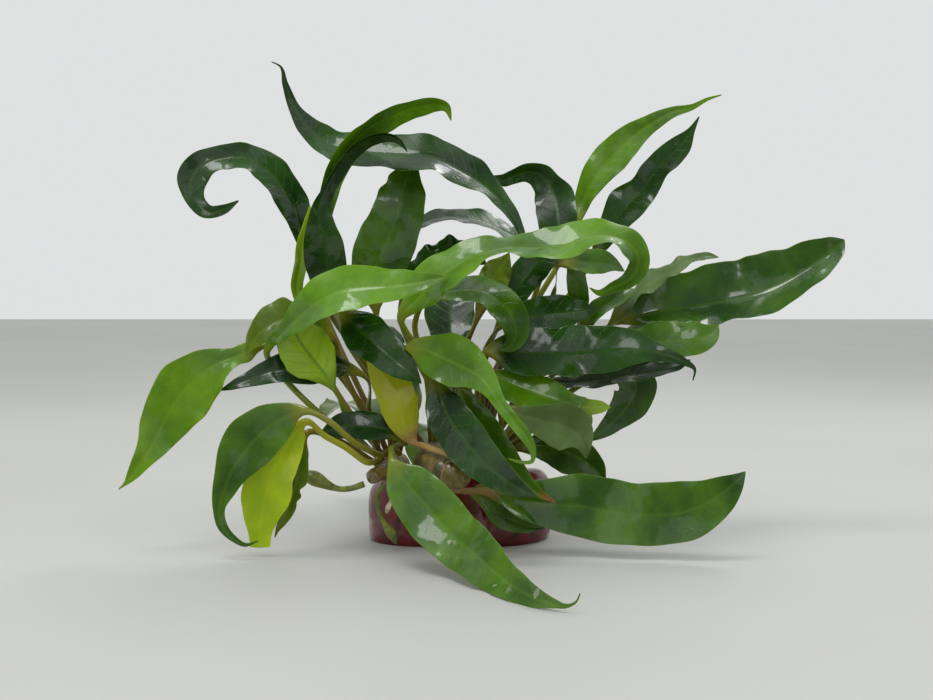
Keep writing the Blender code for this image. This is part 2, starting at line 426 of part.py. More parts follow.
def leaf_rings(leaf):
    """Rings of six points along a leaf, the two end points, and the station at which the blade starts."""
    points, half, turn, past, start = leaf_stations(leaf)
    tangents = np.gradient(points, axis=0)
    tangents /= np.linalg.norm(tangents, axis=1)[:, None]
    toward = (np.array([0.0, 0.0, 1.0]) - 0 * points) if leaf.upward else EYE - points
    across = np.cross(tangents, toward)
    across /= np.linalg.norm(across, axis=1)[:, None]
    facing = np.cross(across, tangents)
    angle = np.radians(turn)[:, None]
    side = np.cos(angle) * across + np.sin(angle) * facing
    up = np.cos(angle) * facing - np.sin(angle) * across
    flat = smooth_step(past / SHEATH_LENGTH)
    thick = half * (1 - flat) * 0.87 + np.minimum(BLADE_HALF_THICKNESS, 0.55 * half) * flat
    fold = math.radians(leaf.fold) * flat
    top = 0.5 + (TOP_SPREAD - 0.5) * flat
    under = 0.5 + (UNDER_SPREAD - 0.5) * flat
    rings = np.empty((len(points), 6, 3))
    for corner, (share, level) in enumerate(((1.0, 0.0), (top, 1.0), (-top, 1.0), (-1.0, 0.0),
                                             (-under, -1.0), (under, -1.0))):
        lateral = share * half * np.where(np.abs(share) == 1.0, np.cos(fold), 1.0)
        raised = (np.abs(share) - 0.25) * half * np.sin(fold) + level * thick
        rings[:, corner] = points + lateral[:, None] * side + raised[:, None] * up
    foot = points[0] - tangents[0] * 0.3
    tip = points[-1] + tangents[-1] * 0.4
    return rings, foot, tip, start


def loft(rings, foot, tip):
    """Points and triangles of the closed solid over rings, closed by one point at each end.

    Each four-sided face is cut along the same way on the underside as on the upper face above it, so that
    a twisted blade keeps its thickness.
    """
    count, sides = rings.shape[:2]
    points = np.concatenate([rings.reshape(-1, 3), [foot, tip]])
    faces = []
    for ring in range(count - 1):
        for k in range(sides):
            a, b = ring * sides + k, ring * sides + (k + 1) % sides
            if k < sides // 2:
                faces += [(a, b + sides, b), (a, a + sides, b + sides)]
            else:
                faces += [(a, a + sides, b), (b, a + sides, b + sides)]
    low, high = count * sides, count * sides + 1
    last = (count - 1) * sides
    for k in range(sides):
        faces.append((low, k, (k + 1) % sides))
        faces.append((high, last + (k + 1) % sides, last + k))
    return points, faces


class Laying:
    """Lays leaves one in front of another: remembers how near the viewer each small cell is filled."""

    def __init__(self):
        columns, rows = FRAME_PX
        self.near = np.full((int(rows / CELL_PX) + 4, int(columns / CELL_PX) + 4), 1e6)

    def samples(self, rings):
        """Cells and depths of points spread over the rings' sheet, one group for each pair of rings."""
        for ring in range(len(rings) - 1):
            pair = rings[ring:ring + 2]
            spread = picture(pair).reshape(-1, 2)
            length = max(np.ptp(spread, axis=0).max(), 2.0)
            t = np.linspace(0, 1, int(length / 1.2) + 2)
            closed = np.concatenate([pair, pair[:, :1]], axis=1)
            s = np.linspace(0, 6, int(length / 1.2) * 2 + 14)
            index = np.minimum(s.astype(int), 5)
            part = (s - index)[None, :, None]
            around = closed[:, index] * (1 - part) + closed[:, index + 1] * part
            points = around[:1] * (1 - t[:, None, None]) + around[1:] * t[:, None, None]
            points = points.reshape(-1, 3)
            cells = np.round(picture(points) / CELL_PX).astype(int)
            yield ring, cells[:, 0], cells[:, 1], points[:, 1]

    def needed(self, rings, first, last):
        """How far each station from first to last has to come forward to clear what lies behind."""
        padded = np.pad(self.near, 1, constant_values=1e6)
        rows, columns = self.near.shape
        near = np.min([padded[i:i + rows, j:j + columns] for i in range(3) for j in range(3)], axis=0)
        push = np.zeros(len(rings))
        for ring, column, row, depth in self.samples(rings):
            if first <= ring < last:
                excess = (depth + LAY_GAP - near[row, column]).max()
                push[ring] = max(push[ring], excess)
                push[ring + 1] = max(push[ring + 1], excess)
        return push

    def fill(self, rings, first, last):
        """Remember the rings from first to last as filled."""
        for ring, column, row, depth in self.samples(rings):
            if first <= ring < last:
                np.minimum.at(self.near, (row, column), depth)


def spread_push(push, rings, low, high):
    """Smooth envelope of the pushes between two stations, falling off along the leaf."""
    middle = rings.mean(axis=1)
    along = np.concatenate([[0.0], np.cumsum(np.linalg.norm(np.diff(middle, axis=0), axis=1))])
    smooth = np.zeros_like(push)
    for station in range(low, high + 1):
        away = np.abs(along - along[station]) / REACH_OF_PUSH
        smooth = np.maximum(smooth, push[station] * (1 - smooth_step(away)))
    return smooth


def come_forward(points, push):
    """Move points along their lines of sight by push mm of depth."""
    share = (points[..., 1] - push - EYE[1]) / (points[..., 1] - EYE[1])
    return EYE + (points - EYE) * share[..., None]


def lay_leaves():
    """Rings of every leaf after each has come forward just enough to clear those behind it."""
    laying = Laying()
    built = {}
    pushes = {}
    for leaf in LEAVES:
        built[leaf.name] = leaf_rings(leaf)
        pushes[leaf.name] = np.zeros(len(built[leaf.name][0]))

    def lay(leaf, first, last, low):
        rings, foot, tip, start = built[leaf.name]
        push = pushes[leaf.name]
        for _ in range(3):
            moved = come_forward(rings, push[:, None])
            more = laying.needed(moved, first, last)
            if more.max() <= 0.01:
                break
            more = spread_push(more, moved, first, min(last, len(rings) - 1))
            more[:low] = 0.0
            push += more
        laying.fill(come_forward(rings, push[:, None]), first, last)

    for leaf in LEAVES:
        if leaf.name.startswith("leaf_back"):
            lay(leaf, 0, len(built[leaf.name][0]), 0)
    for leaf in LEAVES:
        if not leaf.stalk_shows:
            lay(leaf, 0, built[leaf.name][3], 0)
    for leaf in LEAVES:
        if not leaf.name.startswith("leaf_back"):
            start = built[leaf.name][3]
            first = 0 if leaf.stalk_shows else start
            lay(leaf, first, len(built[leaf.name][0]), 0 if leaf.stalk_shows else start)
    solids = {}
    for leaf in LEAVES:
        rings, foot, tip, _ = built[leaf.name]
        push = pushes[leaf.name]
        solids[leaf.name] = (come_forward(rings, push[:, None]), come_forward(foot, push[0]),
                             come_forward(tip, push[-1]))
    return solids, pushes


def material(name):
    """Principled material of one finish, shared by the pieces that have it."""
    if name in bpy.data.materials:
        return bpy.data.materials[name]
    colour, roughness = FINISHES[name]
    made = bpy.data.materials.new(name)
    made.use_nodes = True
    made.diffuse_color = (*colour, 1.0)
    shader = made.node_tree.nodes["Principled BSDF"]
    shader.inputs["Base Color"].default_value = (*colour, 1.0)
    shader.inputs["Roughness"].default_value = roughness
    shader.inputs["Metallic"].default_value = 0.0
    return made


def add_object(name, data, finish, collection):
    """Put a mesh or curve in the collection as one named piece with its material."""
    data.materials.append(material(finish))
    piece = bpy.data.objects.new(name, data)
    collection.objects.link(piece)
    return piece


def add_leaf(leaf, solid, collection):
    """One leaf and its stalk as a lofted solid."""
    points, faces = loft(*solid)
    mesh = bpy.data.meshes.new(leaf.name)
    mesh.from_pydata((points * MM).tolist(), [], faces)
    mesh.update()
    mesh.shade_smooth()
    return add_object(leaf.name, mesh, leaf.finish, collection)


def add_tube(name, finish, route, radii, collection):
    """A stem or root: a curve through the route's points with a radius at each, closed at both ends."""
    curve = bpy.data.curves.new(name, "CURVE")
    curve.dimensions = "3D"
    curve.bevel_depth = MM
    curve.bevel_resolution = 2
    curve.use_fill_caps = True
    line = curve.splines.new("POLY")
    line.points.add(len(route) - 1)
    for point, place, radius in zip(line.points, route, radii):
        point.co = (*(place * MM), 1.0)
        point.radius = radius
    return add_object(name, curve, finish, collection)


def add_rhizome(rhizome, collection):
    """A knobbly creeping stem from back to front, with its bent nose."""
    places = [(rhizome.column, rhizome.row, depth)
              for depth in np.linspace(rhizome.back, rhizome.front, 7)] + list(rhizome.nose)
    route = np.array([sight(*place) for place in places])
    radii = [RHIZOME_RADIUS * (0.93 + 0.07 * math.cos(2.6 * k)) for k in range(len(places))]
    radii[0] *= 0.7
    for k in range(len(rhizome.nose)):
        radii[-1 - k] = 3.0 + 0.5 * k
    return add_tube(rhizome.name, "rhizome", route, radii, collection)


def add_root(name, finish, radius, places, collection):
    """A root along its route, thinner at its end."""
    knots = np.array([sight(*place) for place in places])
    params = np.arange(len(knots), dtype=float)
    route = spline(knots, params, np.linspace(0, params[-1], 2 * len(knots)))
    radii = [radius * (1.0 - 0.35 * k / (len(route) - 1)) for k in range(len(route))]
    return add_tube(name, finish, route, radii, collection)


def stone_top(x, y):
    """Height of the stone's top before its edges round off: it rises to the right and to the front."""
    return STONE_HEIGHT + STONE_RISE_RIGHT * x - STONE_RISE_FRONT * y


def add_stone(collection):
    """The stone: rings of a rounded square, drawn in at the top, on a flat underside."""
    levels = ((0.0, 0.955), (0.05, 0.985), (0.2, 1.0), (0.5, 1.0), (0.78, 0.985), (0.92, 0.94), (0.985, 0.86),
              (1.0, 0.74), (1.0, 0.4))
    angles = np.arange(STONE_SIDES) * (2 * math.pi / STONE_SIDES)
    cosine, sine = np.cos(angles), np.sin(angles)
    reach = (np.abs(cosine) ** STONE_SQUARENESS + np.abs(sine) ** STONE_SQUARENESS) ** (-1 / STONE_SQUARENESS)
    reach *= 1 + 0.012 * np.sin(3 * angles + 0.8) + 0.010 * np.cos(5 * angles)
    shape = bmesh.new()
    loops = []
    for height, draw in levels:
        x = STONE_HALF_WIDTH * reach * cosine * draw
        y = STONE_HALF_DEPTH * reach * sine * draw
        z = stone_top(x, y) * height
        loops.append([shape.verts.new((a * MM, b * MM, c * MM)) for a, b, c in zip(x, y, z)])
    for lower, upper in zip(loops, loops[1:]):
        for k in range(STONE_SIDES):
            after = (k + 1) % STONE_SIDES
            shape.faces.new((lower[k], lower[after], upper[after], upper[k]))
    shape.faces.new(list(reversed(loops[0])))
    crown = shape.verts.new((0.0, 0.0, stone_top(0, 0) * MM))
    for k in range(STONE_SIDES):
        shape.faces.new((loops[-1][k], loops[-1][(k + 1) % STONE_SIDES], crown))
    bmesh.ops.recalc_face_normals(shape, faces=shape.faces)
    mesh = bpy.data.meshes.new("stone")
    shape.to_mesh(mesh)
    shape.free()
    mesh.shade_smooth()
    mesh.set_sharp_from_angle(angle=math.radians(50))
    return add_object("stone", mesh, "stone", collection)


def build():
    """Make every piece of the plant and its stone."""
    for old in list(bpy.data.objects):
        bpy.data.objects.remove(old, do_unlink=True)
    plant = bpy.data.collections.new("anubias_on_stone")
    bpy.context.scene.collection.children.link(plant)
    add_stone(plant)
    for rhizome in RHIZOMES.values():
        add_rhizome(rhizome, plant)
    for name, finish, radius, places in ROOTS:
        add_root(name, finish, radius, places, plant)
    solids, _ = lay_leaves()
    for leaf in LEAVES:
        add_leaf(leaf, solids[leaf.name], plant)


build()
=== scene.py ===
"""Looks of a clump of anubias on a dark red stone: wet strap leaves on thin stalks, creeping stems and roots.

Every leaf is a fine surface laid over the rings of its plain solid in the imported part, with a channelled
midrib, side veins, a rippled margin and a wet film. Sizes are in metres unless a name says millimetres.
"""
import json
import logging
import math
from dataclasses import dataclass, field
from enum import Enum

import bmesh
import bpy
import numpy as np
from numpy.typing import NDArray
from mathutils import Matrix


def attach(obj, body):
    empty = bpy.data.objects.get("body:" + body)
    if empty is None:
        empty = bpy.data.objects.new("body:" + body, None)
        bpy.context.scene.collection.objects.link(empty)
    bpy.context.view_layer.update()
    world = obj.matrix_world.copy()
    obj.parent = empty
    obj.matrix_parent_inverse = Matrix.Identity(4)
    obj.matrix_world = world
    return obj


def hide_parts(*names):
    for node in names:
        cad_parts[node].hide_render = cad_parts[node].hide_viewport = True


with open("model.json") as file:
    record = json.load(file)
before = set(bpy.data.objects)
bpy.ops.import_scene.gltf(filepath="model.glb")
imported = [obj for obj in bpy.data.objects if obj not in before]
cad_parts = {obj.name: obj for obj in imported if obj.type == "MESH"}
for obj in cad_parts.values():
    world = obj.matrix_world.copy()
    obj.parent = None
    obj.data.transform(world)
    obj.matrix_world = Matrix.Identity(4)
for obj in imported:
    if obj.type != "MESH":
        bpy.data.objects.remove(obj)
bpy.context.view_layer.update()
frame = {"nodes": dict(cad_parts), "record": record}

log = logging.getLogger("anubias")

MM = 0.001
Colour = tuple[float, float, float]
Array = NDArray[np.float64]

# Sampling of a leaf's fine surface
BLADE_STEPS = 120
STALK_STEPS = 26
HALF_AROUND = 20


class Side(Enum):
    """The two margins of a leaf, seen from its foot with its upper face towards the viewer."""

    RIGHT = 1.0
    LEFT = -1.0


@dataclass(frozen=True)
class Notch:
    """A bite or tear in a margin.

    along is its place from the blade's start (0) to its tip (1), depth the share of the half width that is
    missing, and width its share of the blade's length.
    """

    along: float
    side: Side
    depth: float
    width: float


@dataclass(frozen=True)
class LeafFinish:
    """Colours and wetness of one kind of leaf."""

    deep: Colour
    lush: Colour
    under: Colour
    vein: Colour
    stalk: Colour
    vein_show: float = 0.22
    roughness: float = 0.30
    film: float = 0.55
    mottle: float = 0.5
    # Share of pale flecks: partly algae and residue, partly painted glints of water drops.
    spots_and_glints: float = 0.0
    browning: float = 0.0


FINISHES = {
    "dark": LeafFinish((0.0030, 0.0200, 0.0006), (0.0140, 0.0620, 0.0015), (0.080, 0.170, 0.006),
                       (0.050, 0.140, 0.008), (0.150, 0.160, 0.008), roughness=0.24),
    "mid": LeafFinish((0.0160, 0.0600, 0.0010), (0.0600, 0.1500, 0.0025), (0.130, 0.240, 0.006),
                      (0.110, 0.210, 0.010), (0.180, 0.190, 0.010)),
    "midwet": LeafFinish((0.0130, 0.0550, 0.0014), (0.0560, 0.1450, 0.0030), (0.130, 0.230, 0.008),
                         (0.110, 0.210, 0.012), (0.240, 0.150, 0.040), film=0.75, roughness=0.32),
    "bigwet": LeafFinish((0.0100, 0.0480, 0.0016), (0.0420, 0.1200, 0.0040), (0.120, 0.220, 0.008),
                         (0.100, 0.200, 0.014), (0.170, 0.180, 0.010), film=0.90, roughness=0.32),
    "bright": LeafFinish((0.0380, 0.1150, 0.0008), (0.1050, 0.2500, 0.0016), (0.180, 0.320, 0.006),
                         (0.170, 0.310, 0.010), (0.190, 0.240, 0.010), roughness=0.34),
    # The front finish has the most pale flecks, partly painted glints of water drops.
    "front": LeafFinish((0.0240, 0.0820, 0.0030), (0.0800, 0.1850, 0.0060), (0.150, 0.250, 0.010),
                        (0.130, 0.240, 0.014), (0.160, 0.200, 0.010), spots_and_glints=0.6, film=0.45, roughness=0.38),
    # Painted reflection: the grey finish's greyed, paler greens stand in for the pale sky sheen on these leaves.
    "grey": LeafFinish((0.0420, 0.0850, 0.0160), (0.1050, 0.1800, 0.0450), (0.150, 0.220, 0.030),
                       (0.150, 0.230, 0.060), (0.170, 0.170, 0.020), film=0.35, roughness=0.40),
    "olive": LeafFinish((0.0500, 0.0950, 0.0016), (0.1250, 0.2050, 0.0035), (0.190, 0.270, 0.008),
                        (0.180, 0.260, 0.012), (0.200, 0.160, 0.012)),
    "lime": LeafFinish((0.1150, 0.2150, 0.0016), (0.2300, 0.3700, 0.0030), (0.260, 0.390, 0.006),
                       (0.300, 0.440, 0.012), (0.250, 0.250, 0.012)),
    "limebig": LeafFinish((0.0600, 0.1700, 0.0012), (0.1500, 0.3100, 0.0025), (0.210, 0.350, 0.006),
                          (0.220, 0.360, 0.012), (0.190, 0.230, 0.010)),
    "cut": LeafFinish((0.2500, 0.3900, 0.0016), (0.4700, 0.6000, 0.0040), (0.360, 0.470, 0.008),
                      (0.420, 0.560, 0.012), (0.330, 0.330, 0.014), vein_show=0.20),
    "underside": LeafFinish((0.1000, 0.2000, 0.0016), (0.1700, 0.3000, 0.0030), (0.220, 0.360, 0.004),
                            (0.080, 0.180, 0.004), (0.160, 0.250, 0.010), vein_show=0.75),
    "yellow": LeafFinish((0.2000, 0.2300, 0.0030), (0.3200, 0.3500, 0.0060), (0.340, 0.360, 0.010),
                         (0.370, 0.390, 0.020), (0.400, 0.250, 0.090), spots_and_glints=0.12, browning=0.2),
}


@dataclass(frozen=True)
class LeafLook:
    """What sets one leaf apart: its ripples, its bites, and its colour changes.

    ripple is the height of the margin's waves in mm and wave their length in mm. droop rolls the margins down, in
    mm.
    """

    ripple: float = 0.7
    wave: float = 21.0
    droop: float = 0.0
    seed: float = 0.0
    notches: tuple[Notch, ...] = ()
    brown_tip: float = 0.0


LOOKS = {
    "leaf_top_long": LeafLook(ripple=0.9, wave=26.0),
    "leaf_top_loop": LeafLook(ripple=0.5, wave=18.0),
    "leaf_top_hook": LeafLook(ripple=0.5, wave=22.0),
    "leaf_top_rolled": LeafLook(ripple=0.4, wave=30.0),
    "leaf_upright_broad": LeafLook(ripple=0.8, wave=20.0, notches=(Notch(0.80, Side.LEFT, 0.22, 0.035),)),
    "leaf_front_arch": LeafLook(ripple=0.7, wave=26.0),
    "leaf_front_long": LeafLook(ripple=0.9, wave=24.0),
    "leaf_mid_ruffled": LeafLook(ripple=1.6, wave=9.5),
    "leaf_mid_crumpled": LeafLook(ripple=1.3, wave=10.0),
    "leaf_right_big": LeafLook(ripple=1.1, wave=27.0),
    "leaf_right_wavy": LeafLook(ripple=1.3, wave=15.0),
    "leaf_right_low": LeafLook(ripple=0.8, wave=30.0),
    "leaf_left_notched": LeafLook(ripple=0.8, wave=12.0, notches=(Notch(0.62, Side.LEFT, 0.35, 0.05),
                                                                 Notch(0.44, Side.RIGHT, 0.18, 0.04))),
    "leaf_left_ragged": LeafLook(ripple=0.9, wave=11.0, notches=(Notch(0.52, Side.LEFT, 0.45, 0.04),
                                                                Notch(0.63, Side.LEFT, 0.30, 0.04),
                                                                Notch(0.40, Side.RIGHT, 0.25, 0.05)),
                                brown_tip=0.4),
    "leaf_left_lime": LeafLook(ripple=1.0, wave=23.0),
    "leaf_left_cut": LeafLook(ripple=0.9, wave=19.0),
    "leaf_left_hanging": LeafLook(ripple=0.6, wave=24.0),
    "leaf_centre_brown_tip": LeafLook(ripple=0.5, wave=20.0, brown_tip=1.0),
    "leaf_front_floor": LeafLook(ripple=0.9, wave=28.0),
}


def smooth_step(value: Array) -> Array:
    """Smooth ramp that is 0 below 0 and 1 above 1."""
    value = np.clip(value, 0.0, 1.0)
    return value * value * (3.0 - 2.0 * value)


def through(knots: Array, places: Array, where: Array) -> Array:
    """Smooth curve through values.

    On each stretch it is the cubic whose slopes at both ends are the mean slopes of the neighbours.

    Args:
        knots: values, one row for each place.
        places: rising parameters of the knots.
        where: parameters at which the curve is wanted.

    Returns:
        One row for each entry of where.
    """
    steps = np.diff(places)
    slopes = np.diff(knots, axis=0) / steps[:, None]
    tangents = np.empty_like(knots)
    tangents[0], tangents[-1] = slopes[0], slopes[-1]
    weights = (steps[1:] + steps[:-1])[:, None]
    tangents[1:-1] = (slopes[:-1] * steps[1:, None] + slopes[1:] * steps[:-1, None]) / weights
    index = np.clip(np.searchsorted(places, where, side="right") - 1, 0, len(steps) - 1)
    width = steps[index][:, None]
    t = ((where - places[index]) / steps[index])[:, None]
    return ((1 + 2 * t) * (1 - t) ** 2 * knots[index] + t * (1 - t) ** 2 * width * tangents[index]
            + t * t * (3 - 2 * t) * knots[index + 1] + t * t * (t - 1) * width * tangents[index + 1])


def unit(vectors: Array) -> Array:
    """The vectors at length one."""
    return vectors / np.maximum(np.linalg.norm(vectors, axis=-1, keepdims=True), 1e-12)


def grid_mesh(name: str, points: Array, start: Array, end: Array) -> bpy.types.Mesh:
    """Closed tube-like mesh over a grid of points.

    Row i of the grid is a loop, each loop is joined to the next by quads, and one point closes each end.

    Args:
        name: name of the mesh.
        points: grid of shape (loops, around, 3).
        start: point that closes the first loop.
        end: point that closes the last loop.

    Returns:
        The mesh, with its faces pointing outwards.
    """
    loops, around = points.shape[:2]
    cells = np.arange(loops * around).reshape(loops, around)
    after = np.roll(cells, -1, axis=1)
    quads = np.stack([cells[:-1], cells[1:], after[1:], after[:-1]], axis=-1).reshape(-1, 4)
    low, high = loops * around, loops * around + 1
    first = np.stack([np.full(around, low), cells[0], after[0]], axis=-1)
    last = np.stack([np.full(around, high), after[-1], cells[-1]], axis=-1)
    mesh = bpy.data.meshes.new(name)
    everything = np.concatenate([points.reshape(-1, 3), start[None], end[None]])
    mesh.from_pydata(everything.tolist(), [], quads.tolist() + first.tolist() + last.tolist())
    mesh.update()
    shape = bmesh.new()
    shape.from_mesh(mesh)
    if shape.calc_volume(signed=True) < 0.0:
        bmesh.ops.reverse_faces(shape, faces=shape.faces)
    shape.to_mesh(mesh)
    shape.free()
    mesh.shade_smooth()
    return mesh


def write_attribute(mesh: bpy.types.Mesh, name: str, values: Array) -> None:
    """Keep one number for each vertex under a name that the materials read."""
    layer = mesh.attributes.new(name, "FLOAT", "POINT")
    layer.data.foreach_set("value", values.astype(np.float32))


class RingReader:
    """Reads the rings of six points, from foot to tip, out of a leaf's plain solid."""

    def __init__(self, node: bpy.types.Object) -> None:
        """Merge a copy of the node's loose triangles and note which points are joined.

        Args:
            node: the leaf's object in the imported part.
        """
        shape = bmesh.new()
        shape.from_mesh(node.data)
        bmesh.ops.remove_doubles(shape, verts=shape.verts, dist=1e-6)
        shape.verts.index_update()
        self.points = np.array([vertex.co[:] for vertex in shape.verts])
        self.links: list[set[int]] = [{edge.other_vert(vertex).index for edge in vertex.link_edges}
                                      for vertex in shape.verts]
        shape.free()

    def ends(self) -> list[int]:
        """The points that close the two ends: six neighbours, which have thirty links between them."""
        return [k for k, near in enumerate(self.links)
                if len(near) == 6 and sum(len(self.links[n]) for n in near) == 30]

    def foot(self) -> int:
        """The end whose ring is as thick as a stalk."""
        stalk_radius = 1.28 * MM
        spans = {}
        for end in self.ends():
            ring = self.points[sorted(self.links[end])]
            spans[end] = abs(np.linalg.norm(ring - ring.mean(axis=0), axis=1).mean() - stalk_radius)
        return min(spans, key=spans.get)

    def walk(self, members: set[int], first: int, second: int) -> list[int]:
        """The members of one ring in order round it, from first on by way of second."""
        order = [first, second]
        while len(order) < len(members):
            options = sorted((self.links[order[-1]] & members) - set(order))
            order.append(options[0])
        return order

    def rings(self) -> Array:
        """All rings in order from the foot.

        The right margin's corner has three links to the next ring, so it starts each ring's numbering. The
        next ring's second corner is the one that both the start and the corner beside it lead to.

        Returns:
            Array (rings, 6, 3). Corners 0 and 3 are the margins, 1 and 2 lie on the upper face.
        """
        foot = self.foot()
        current = set(self.links[foot])
        done = {foot} | current
        following = set.union(*(self.links[k] for k in current)) - done
        first = max(current, key=lambda k: len(self.links[k] & following))
        second = min(self.links[first] & current)
        order = self.walk(current, first, second)
        orders = [order]
        while len(following) == 6:
            ahead = self.links[order[0]] & following
            start = max(ahead, key=lambda k: len(self.links[k] & ahead))
            beside = min(self.links[start] & following & self.links[order[1]])
            done |= following
            order = self.walk(following, start, beside)
            orders.append(order)
            following = set.union(*(self.links[k] for k in order)) - done
        return self.upper_first(self.points[np.array(orders)])

    def upper_first(self, rings: Array) -> Array:
        """Number the corners the other way round where that puts the upper face's closer pair first."""
        widest = int(np.argmax(np.linalg.norm(rings[:, 0] - rings[:, 3], axis=1)))
        ring = rings[widest]
        if np.linalg.norm(ring[1] - ring[2]) > np.linalg.norm(ring[4] - ring[5]):
            rings = rings[:, [0, 5, 4, 3, 2, 1]]
        return rings


@dataclass
class LeafFrame:
    """Middle line, directions and sizes along a leaf, one row for each station."""

    middle: Array
    side: Array
    up: Array
    half: Array
    channel: Array
    thick: Array
    flat: Array
    travelled: Array
    blade_start: float


def leaf_frame(rings: Array) -> LeafFrame:
    """Fine stations along a leaf, worked out from the coarse rings of its solid.

    The middle line, the margins' directions, the half width, the depth of the channel and the thickness
    are each smooth curves through the values at the rings, over the distance travelled from the foot.

    Args:
        rings: the solid's rings, named as RingReader names them.

    Returns:
        The stations.
    """
    right, left = rings[:, 0], rings[:, 3]
    top, under = rings[:, 1:3].mean(axis=1), rings[:, 4:6].mean(axis=1)
    side = unit(right - left)
    up = top - under
    up = unit(up - np.sum(up * side, axis=1, keepdims=True) * side)
    edge = (right + left) / 2
    rise = np.sum((edge - (top + under) / 2) * up, axis=1) / 0.55
    half = np.linalg.norm(right - left, axis=1) / 2
    thick = np.sum((top - under) * up, axis=1) / 2
    middle = edge - up * rise[:, None]
    travelled = np.concatenate([[0.0], np.cumsum(np.linalg.norm(np.diff(middle, axis=0), axis=1))])
    round_ratio = thick / half
    begins = max(int(np.argmax(round_ratio < 0.7)) - 1, 1)
    start = travelled[begins]
    where = np.concatenate([np.linspace(0.0, start, STALK_STEPS, endpoint=False),
                            start + (travelled[-1] - start) * np.linspace(0.0, 1.0, BLADE_STEPS)])
    packed = np.concatenate([middle, side, up, half[:, None], rise[:, None], thick[:, None]], axis=1)
    fine = through(packed, travelled, where)
    low = half.min() * 0.6
    fine_half = np.maximum(fine[:, 9], low)
    fine_side = unit(fine[:, 3:6])
    fine_up = fine[:, 6:9]
    fine_up = unit(fine_up - np.sum(fine_up * fine_side, axis=1, keepdims=True) * fine_side)
    flat = smooth_step((where - start) / (10.0 * MM))
    return LeafFrame(fine[:, :3], fine_side, fine_up, fine_half, fine[:, 10] * flat,
                     np.maximum(fine[:, 11], low * 0.3), flat, where, start)


